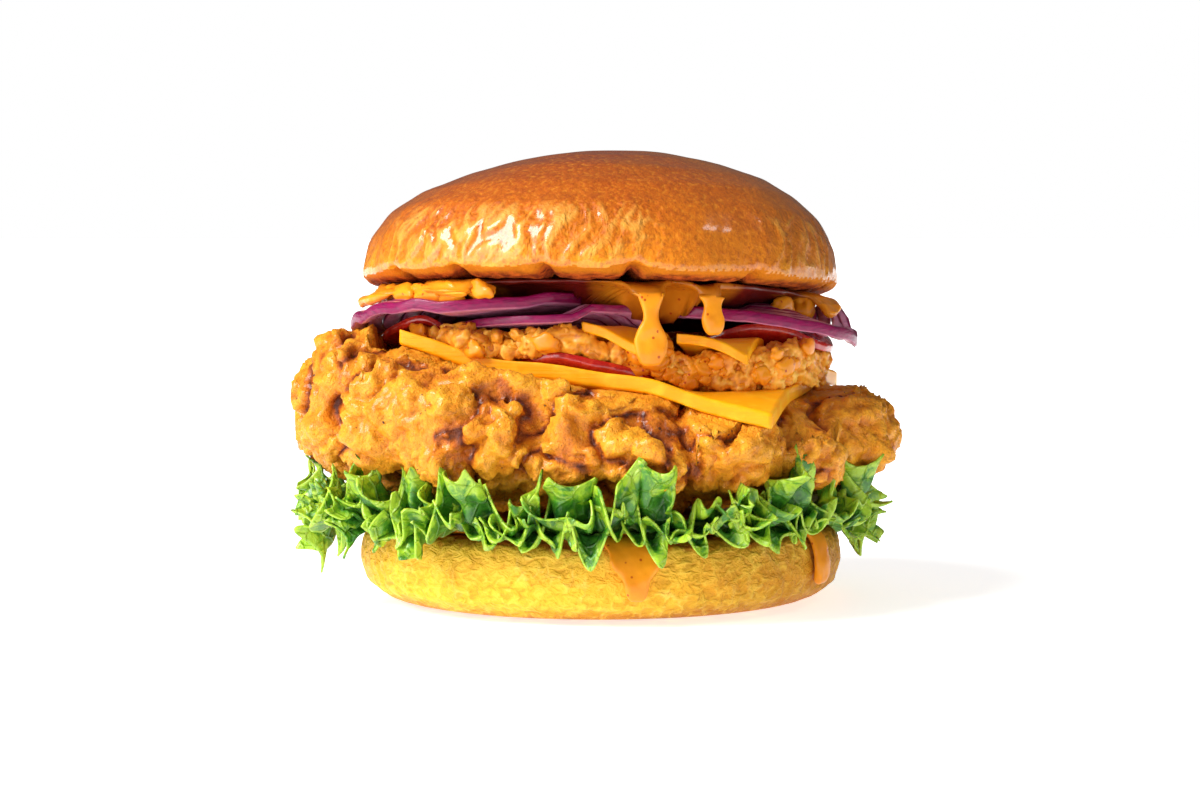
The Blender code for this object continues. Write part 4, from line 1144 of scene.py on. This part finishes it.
def leaf_material(colours):
    """Frilly lettuce: a waxy, slightly see-through blade, pale veins and a yellow-green margin, darker inwards as
    painted shade, with the margin partly a painted highlight.
    """
    tree = Tree("frilly_lettuce", Roughness=0.34, Coat_Weight=0.25, Coat_Roughness=0.2, Subsurface_Weight=0.35, Subsurface_Scale=1.2 * MM)
    tree.shader.inputs["Subsurface Radius"].default_value = (0.6, 1.0, 0.2)
    edge = tree.read("edge")
    level = tree.math("ADD", edge, tree.fit(tree.noise(4, 4, 0.6, 0.8), 0.35, 0.65, -0.26, 0.2))
    # Painted shade darkens the leaf inwards towards its bed under the fillet; the yellow-green margin is partly its own
    # colour and partly a painted highlight.
    body = tree.ramp(
        level, (0.12, linear("6c8c30")), (0.36, colours.leaf_inner_shade), (0.72, colours.leaf), (0.95, colours.leaf_edge)
    )
    veins = tree.add("TexVoronoi", {"feature": "DISTANCE_TO_EDGE"}, Vector=tree.place(4.2), Scale=1.0)
    vein = tree.fit(veins.outputs["Distance"], 0.09, 0.0)
    body = tree.mix(tree.math("MULTIPLY", vein, 0.1), body, linear("a4cc50"))
    tree.join(body, "Base Color")
    fine = tree.bump(tree.noise(1.8, 4, 0.6), 0.45, 0.9)
    tree.join(tree.bump(vein, 0.5, 0.7, fine), "Normal")
    return tree.material


# ---------------------------------------------------------------- pepper


def pepper_piece(sizes, fillet):
    """Flecks of black pepper set in the crust's surface."""
    mesh = fillet.data
    chance = random.Random(sizes.seed + 3)
    forms = [lump(seed + 40, 1.0, 1) for seed in range(4)]
    spots = []
    while len(spots) < 260:
        face = mesh.polygons[chance.randrange(len(mesh.polygons))]
        place = face.center / MM
        if place.xy.length < 44:
            continue
        size = (0.35 + 0.65 * chance.random() ** 3) * sizes.pepper / MM
        spots.append((chance.randrange(4), place - face.normal * size * 0.12, any_turn(chance) * size, 0.0))
    return scatter("pepper_flecks", forms, spots)


def pepper_material():
    """Cracked black pepper."""
    tree = Tree("black_pepper", Roughness=0.6)
    body = tree.mix(tree.noise(0.4, 2, 0.5), linear("2a1408"), linear("5a3010"))
    tree.join(body, "Base Color")
    return tree.material


# ---------------------------------------------------------------- stage


def lamp(name, energy, size, azimuth, elevation, distance=1.0, kind="AREA"):
    """A soft lamp that looks at the burger. Azimuth 0 is the camera's side and 90 the right."""
    turn, rise = math.radians(azimuth), math.radians(elevation)
    away = Vector((math.sin(turn) * math.cos(rise), -math.cos(turn) * math.cos(rise), math.sin(rise)))
    bpy.ops.object.light_add(type=kind, location=Vector((0, 0, 0.06)) + away * distance)
    light = bpy.context.object
    light.name = name
    light.rotation_euler = (-away).to_track_quat("-Z", "Y").to_euler()
    light.data.energy = energy
    if kind == "AREA":
        light.data.shape = "DISK"
        light.data.size = size
    return light


def stage():
    """Pale floor, soft lamps, an even white surround and the camera."""
    bpy.ops.mesh.primitive_plane_add(size=8.0, location=(0, 0, 0))
    floor = bpy.context.object
    floor.name = "floor"
    tree = Tree("pale_floor", Roughness=0.7, Emission_Color=(1, 1, 1, 1), Emission_Strength=0.64)
    shade = tree.mix(tree.noise(300, 2, 0.5), linear("fdfdfc"), linear("fbfbfa"))
    tree.join(shade, "Base Color")
    floor.data.materials.append(tree.material)
    key = lamp("key", 3.9, 0, -63, 43, kind="SUN")
    key.data.angle = math.radians(30)
    lamp("side", 0.5, 0.16, 80, 46)
    lamp("low", 5.2, 0.8, -56, 8)
    world = bpy.data.worlds.new("white_surround")
    world.use_nodes = True
    nodes, links = world.node_tree.nodes, world.node_tree.links
    nodes["Background"].inputs["Color"].default_value = (1, 1, 1, 1)
    nodes["Background"].inputs["Strength"].default_value = 0.3
    bright = nodes.new("ShaderNodeBackground")
    bright.inputs["Strength"].default_value = 1.0
    bright.inputs["Color"].default_value = (1, 1, 1, 1)
    dull = nodes.new("ShaderNodeBackground")
    dull.inputs["Strength"].default_value = 0.12
    path, blend, gloss = nodes.new("ShaderNodeLightPath"), nodes.new("ShaderNodeMixShader"), nodes.new("ShaderNodeMixShader")
    links.new(path.outputs["Is Glossy Ray"], gloss.inputs[0])
    links.new(nodes["Background"].outputs[0], gloss.inputs[1])
    links.new(dull.outputs[0], gloss.inputs[2])
    links.new(path.outputs["Is Camera Ray"], blend.inputs[0])
    links.new(gloss.outputs[0], blend.inputs[1])
    links.new(bright.outputs[0], blend.inputs[2])
    links.new(blend.outputs[0], nodes["World Output"].inputs["Surface"])
    bpy.context.scene.world = world
    bpy.context.scene.view_settings.view_transform = "Standard"
    bpy.ops.object.camera_add(location=(0, -0.7, 0.096))
    camera = bpy.context.object
    camera.rotation_euler = (Vector((0, 0, 0.045)) - camera.location).to_track_quat("-Z", "Y").to_euler()
    camera.data.lens = 92
    camera.data.sensor_width = 36
    bpy.context.scene.camera = camera


# ---------------------------------------------------------------- operators


class BURGER_OT_bread(bpy.types.Operator):
    """Makes the crown and the heel of the bun"""

    bl_idname = "burger.bread"
    bl_label = "Bread"

    def execute(self, context):
        sizes, colours = context.scene.burger_sizes, context.scene.burger_colours
        crown = crown_piece(sizes)
        finish(crown, "bun", crown_material(colours), "bun_crown")
        cut_faces(crown, crumb_material(colours))
        finish(heel_piece(sizes), "bun", heel_material(colours), "bun_heel")
        return {"FINISHED"}


class BURGER_OT_fillet(bpy.types.Operator):
    """Makes the fried chicken fillet and the pepper on it"""

    bl_idname = "burger.fillet"
    bl_label = "Fried fillet"

    def execute(self, context):
        sizes, colours = context.scene.burger_sizes, context.scene.burger_colours
        fillet = fillet_piece(sizes)
        finish(fillet, "fried_coating", crust_material(colours), "fillet")
        finish(pepper_piece(sizes, fillet), "fried_coating", pepper_material())
        return {"FINISHED"}


class BURGER_OT_lettuce(bpy.types.Operator):
    """Makes the lettuce leaves"""

    bl_idname = "burger.lettuce"
    bl_label = "Lettuce"

    def execute(self, context):
        sizes, colours = context.scene.burger_sizes, context.scene.burger_colours
        material = leaf_material(colours)
        trees = [surface("fillet"), surface("bun_heel")]

        def clear(azimuth, height):
            return max(radius_at(tree, azimuth, height) for tree in trees)

        for number in range(len(LEAVES)):
            leaf = leaf_piece(number, sizes, clear)
            finish(leaf, "lettuce", material, "lettuce_leaf_%d" % (number + 1))
        return {"FINISHED"}


class BURGER_OT_slices(bpy.types.Operator):
    """Makes the slices of cheese, tomato and onion"""

    bl_idname = "burger.slices"
    bl_label = "Slices"

    def execute(self, context):
        sizes, colours = context.scene.burger_sizes, context.scene.burger_colours
        cheddar, flesh, rings = cheese_material(colours), tomato_material(colours), onion_material(colours)
        for node in ("cheese_slice", "cheese_piece_left", "cheese_piece_right"):
            finish(cheese_piece(node, "cheddar_" + node), "cheese", cheddar, node)
        for node in ("tomato_slice_front", "tomato_slice_left", "tomato_slice_right"):
            finish(tomato_piece(node, "ripe_" + node), "tomato", flesh, node)
        for seed, node in enumerate(("onion_slice_back", "onion_slice_lower", "onion_slice_left", "onion_slice_right")):
            finish(onion_piece(node, "red_" + node, 6, sizes.seed + seed), "onion", rings, node)
        return {"FINISHED"}


class BURGER_OT_crisps(bpy.types.Operator):
    """Makes the heap of crispy fried bits"""

    bl_idname = "burger.crisps"
    bl_label = "Crispy bits"

    def execute(self, context):
        sizes, colours = context.scene.burger_sizes, context.scene.burger_colours
        golden = crisps_material(colours)
        finish(crisps_core(sizes), "fried_crisps", golden, "crispy_onion")
        finish(crisps_loose(sizes), "fried_crisps", golden)
        return {"FINISHED"}


class BURGER_OT_sauce(bpy.types.Operator):
    """Makes the sauce on the heel and under the crown"""

    bl_idname = "burger.sauce"
    bl_label = "Sauce"

    def execute(self, context):
        colours = context.scene.burger_colours
        material = sauce_material(colours)
        finish(crown_sauce(), "sauce", material, "sauce_crown")
        finish(heel_sauce(), "sauce", material, "sauce_heel")
        finish(sauce_dabs(context.scene.burger_sizes), "sauce", material)
        return {"FINISHED"}


class BURGER_OT_stage(bpy.types.Operator):
    """Sets the floor, the lamps and the camera"""

    bl_idname = "burger.stage"
    bl_label = "Stage"

    def execute(self, context):
        stage()
        return {"FINISHED"}


STEPS = (
    BURGER_OT_bread, BURGER_OT_fillet, BURGER_OT_lettuce, BURGER_OT_slices,
    BURGER_OT_crisps, BURGER_OT_sauce, BURGER_OT_stage,
)


class BURGER_PT_panel(bpy.types.Panel):
    """Sizes, colours and steps of the burger"""

    bl_label = "Chicken burger"
    bl_idname = "BURGER_PT_panel"
    bl_space_type = "VIEW_3D"
    bl_region_type = "UI"
    bl_category = "Burger"

    def draw(self, context):
        for group in (context.scene.burger_sizes, context.scene.burger_colours):
            for name in group.__annotations__:
                self.layout.prop(group, name)
        for step in STEPS:
            self.layout.operator(step.bl_idname)


CLASSES = (BurgerSizes, BurgerColours) + STEPS + (BURGER_PT_panel,)


def register():
    for kind in CLASSES:
        bpy.utils.register_class(kind)
    bpy.types.Scene.burger_sizes = PointerProperty(type=BurgerSizes)
    bpy.types.Scene.burger_colours = PointerProperty(type=BurgerColours)


def unregister():
    del bpy.types.Scene.burger_colours
    del bpy.types.Scene.burger_sizes
    for kind in reversed(CLASSES):
        bpy.utils.unregister_class(kind)


def main():
    register()
    for step in STEPS:
        group, name = step.bl_idname.split(".")
        getattr(getattr(bpy.ops, group), name)()


if __name__ == "__main__":
    main()
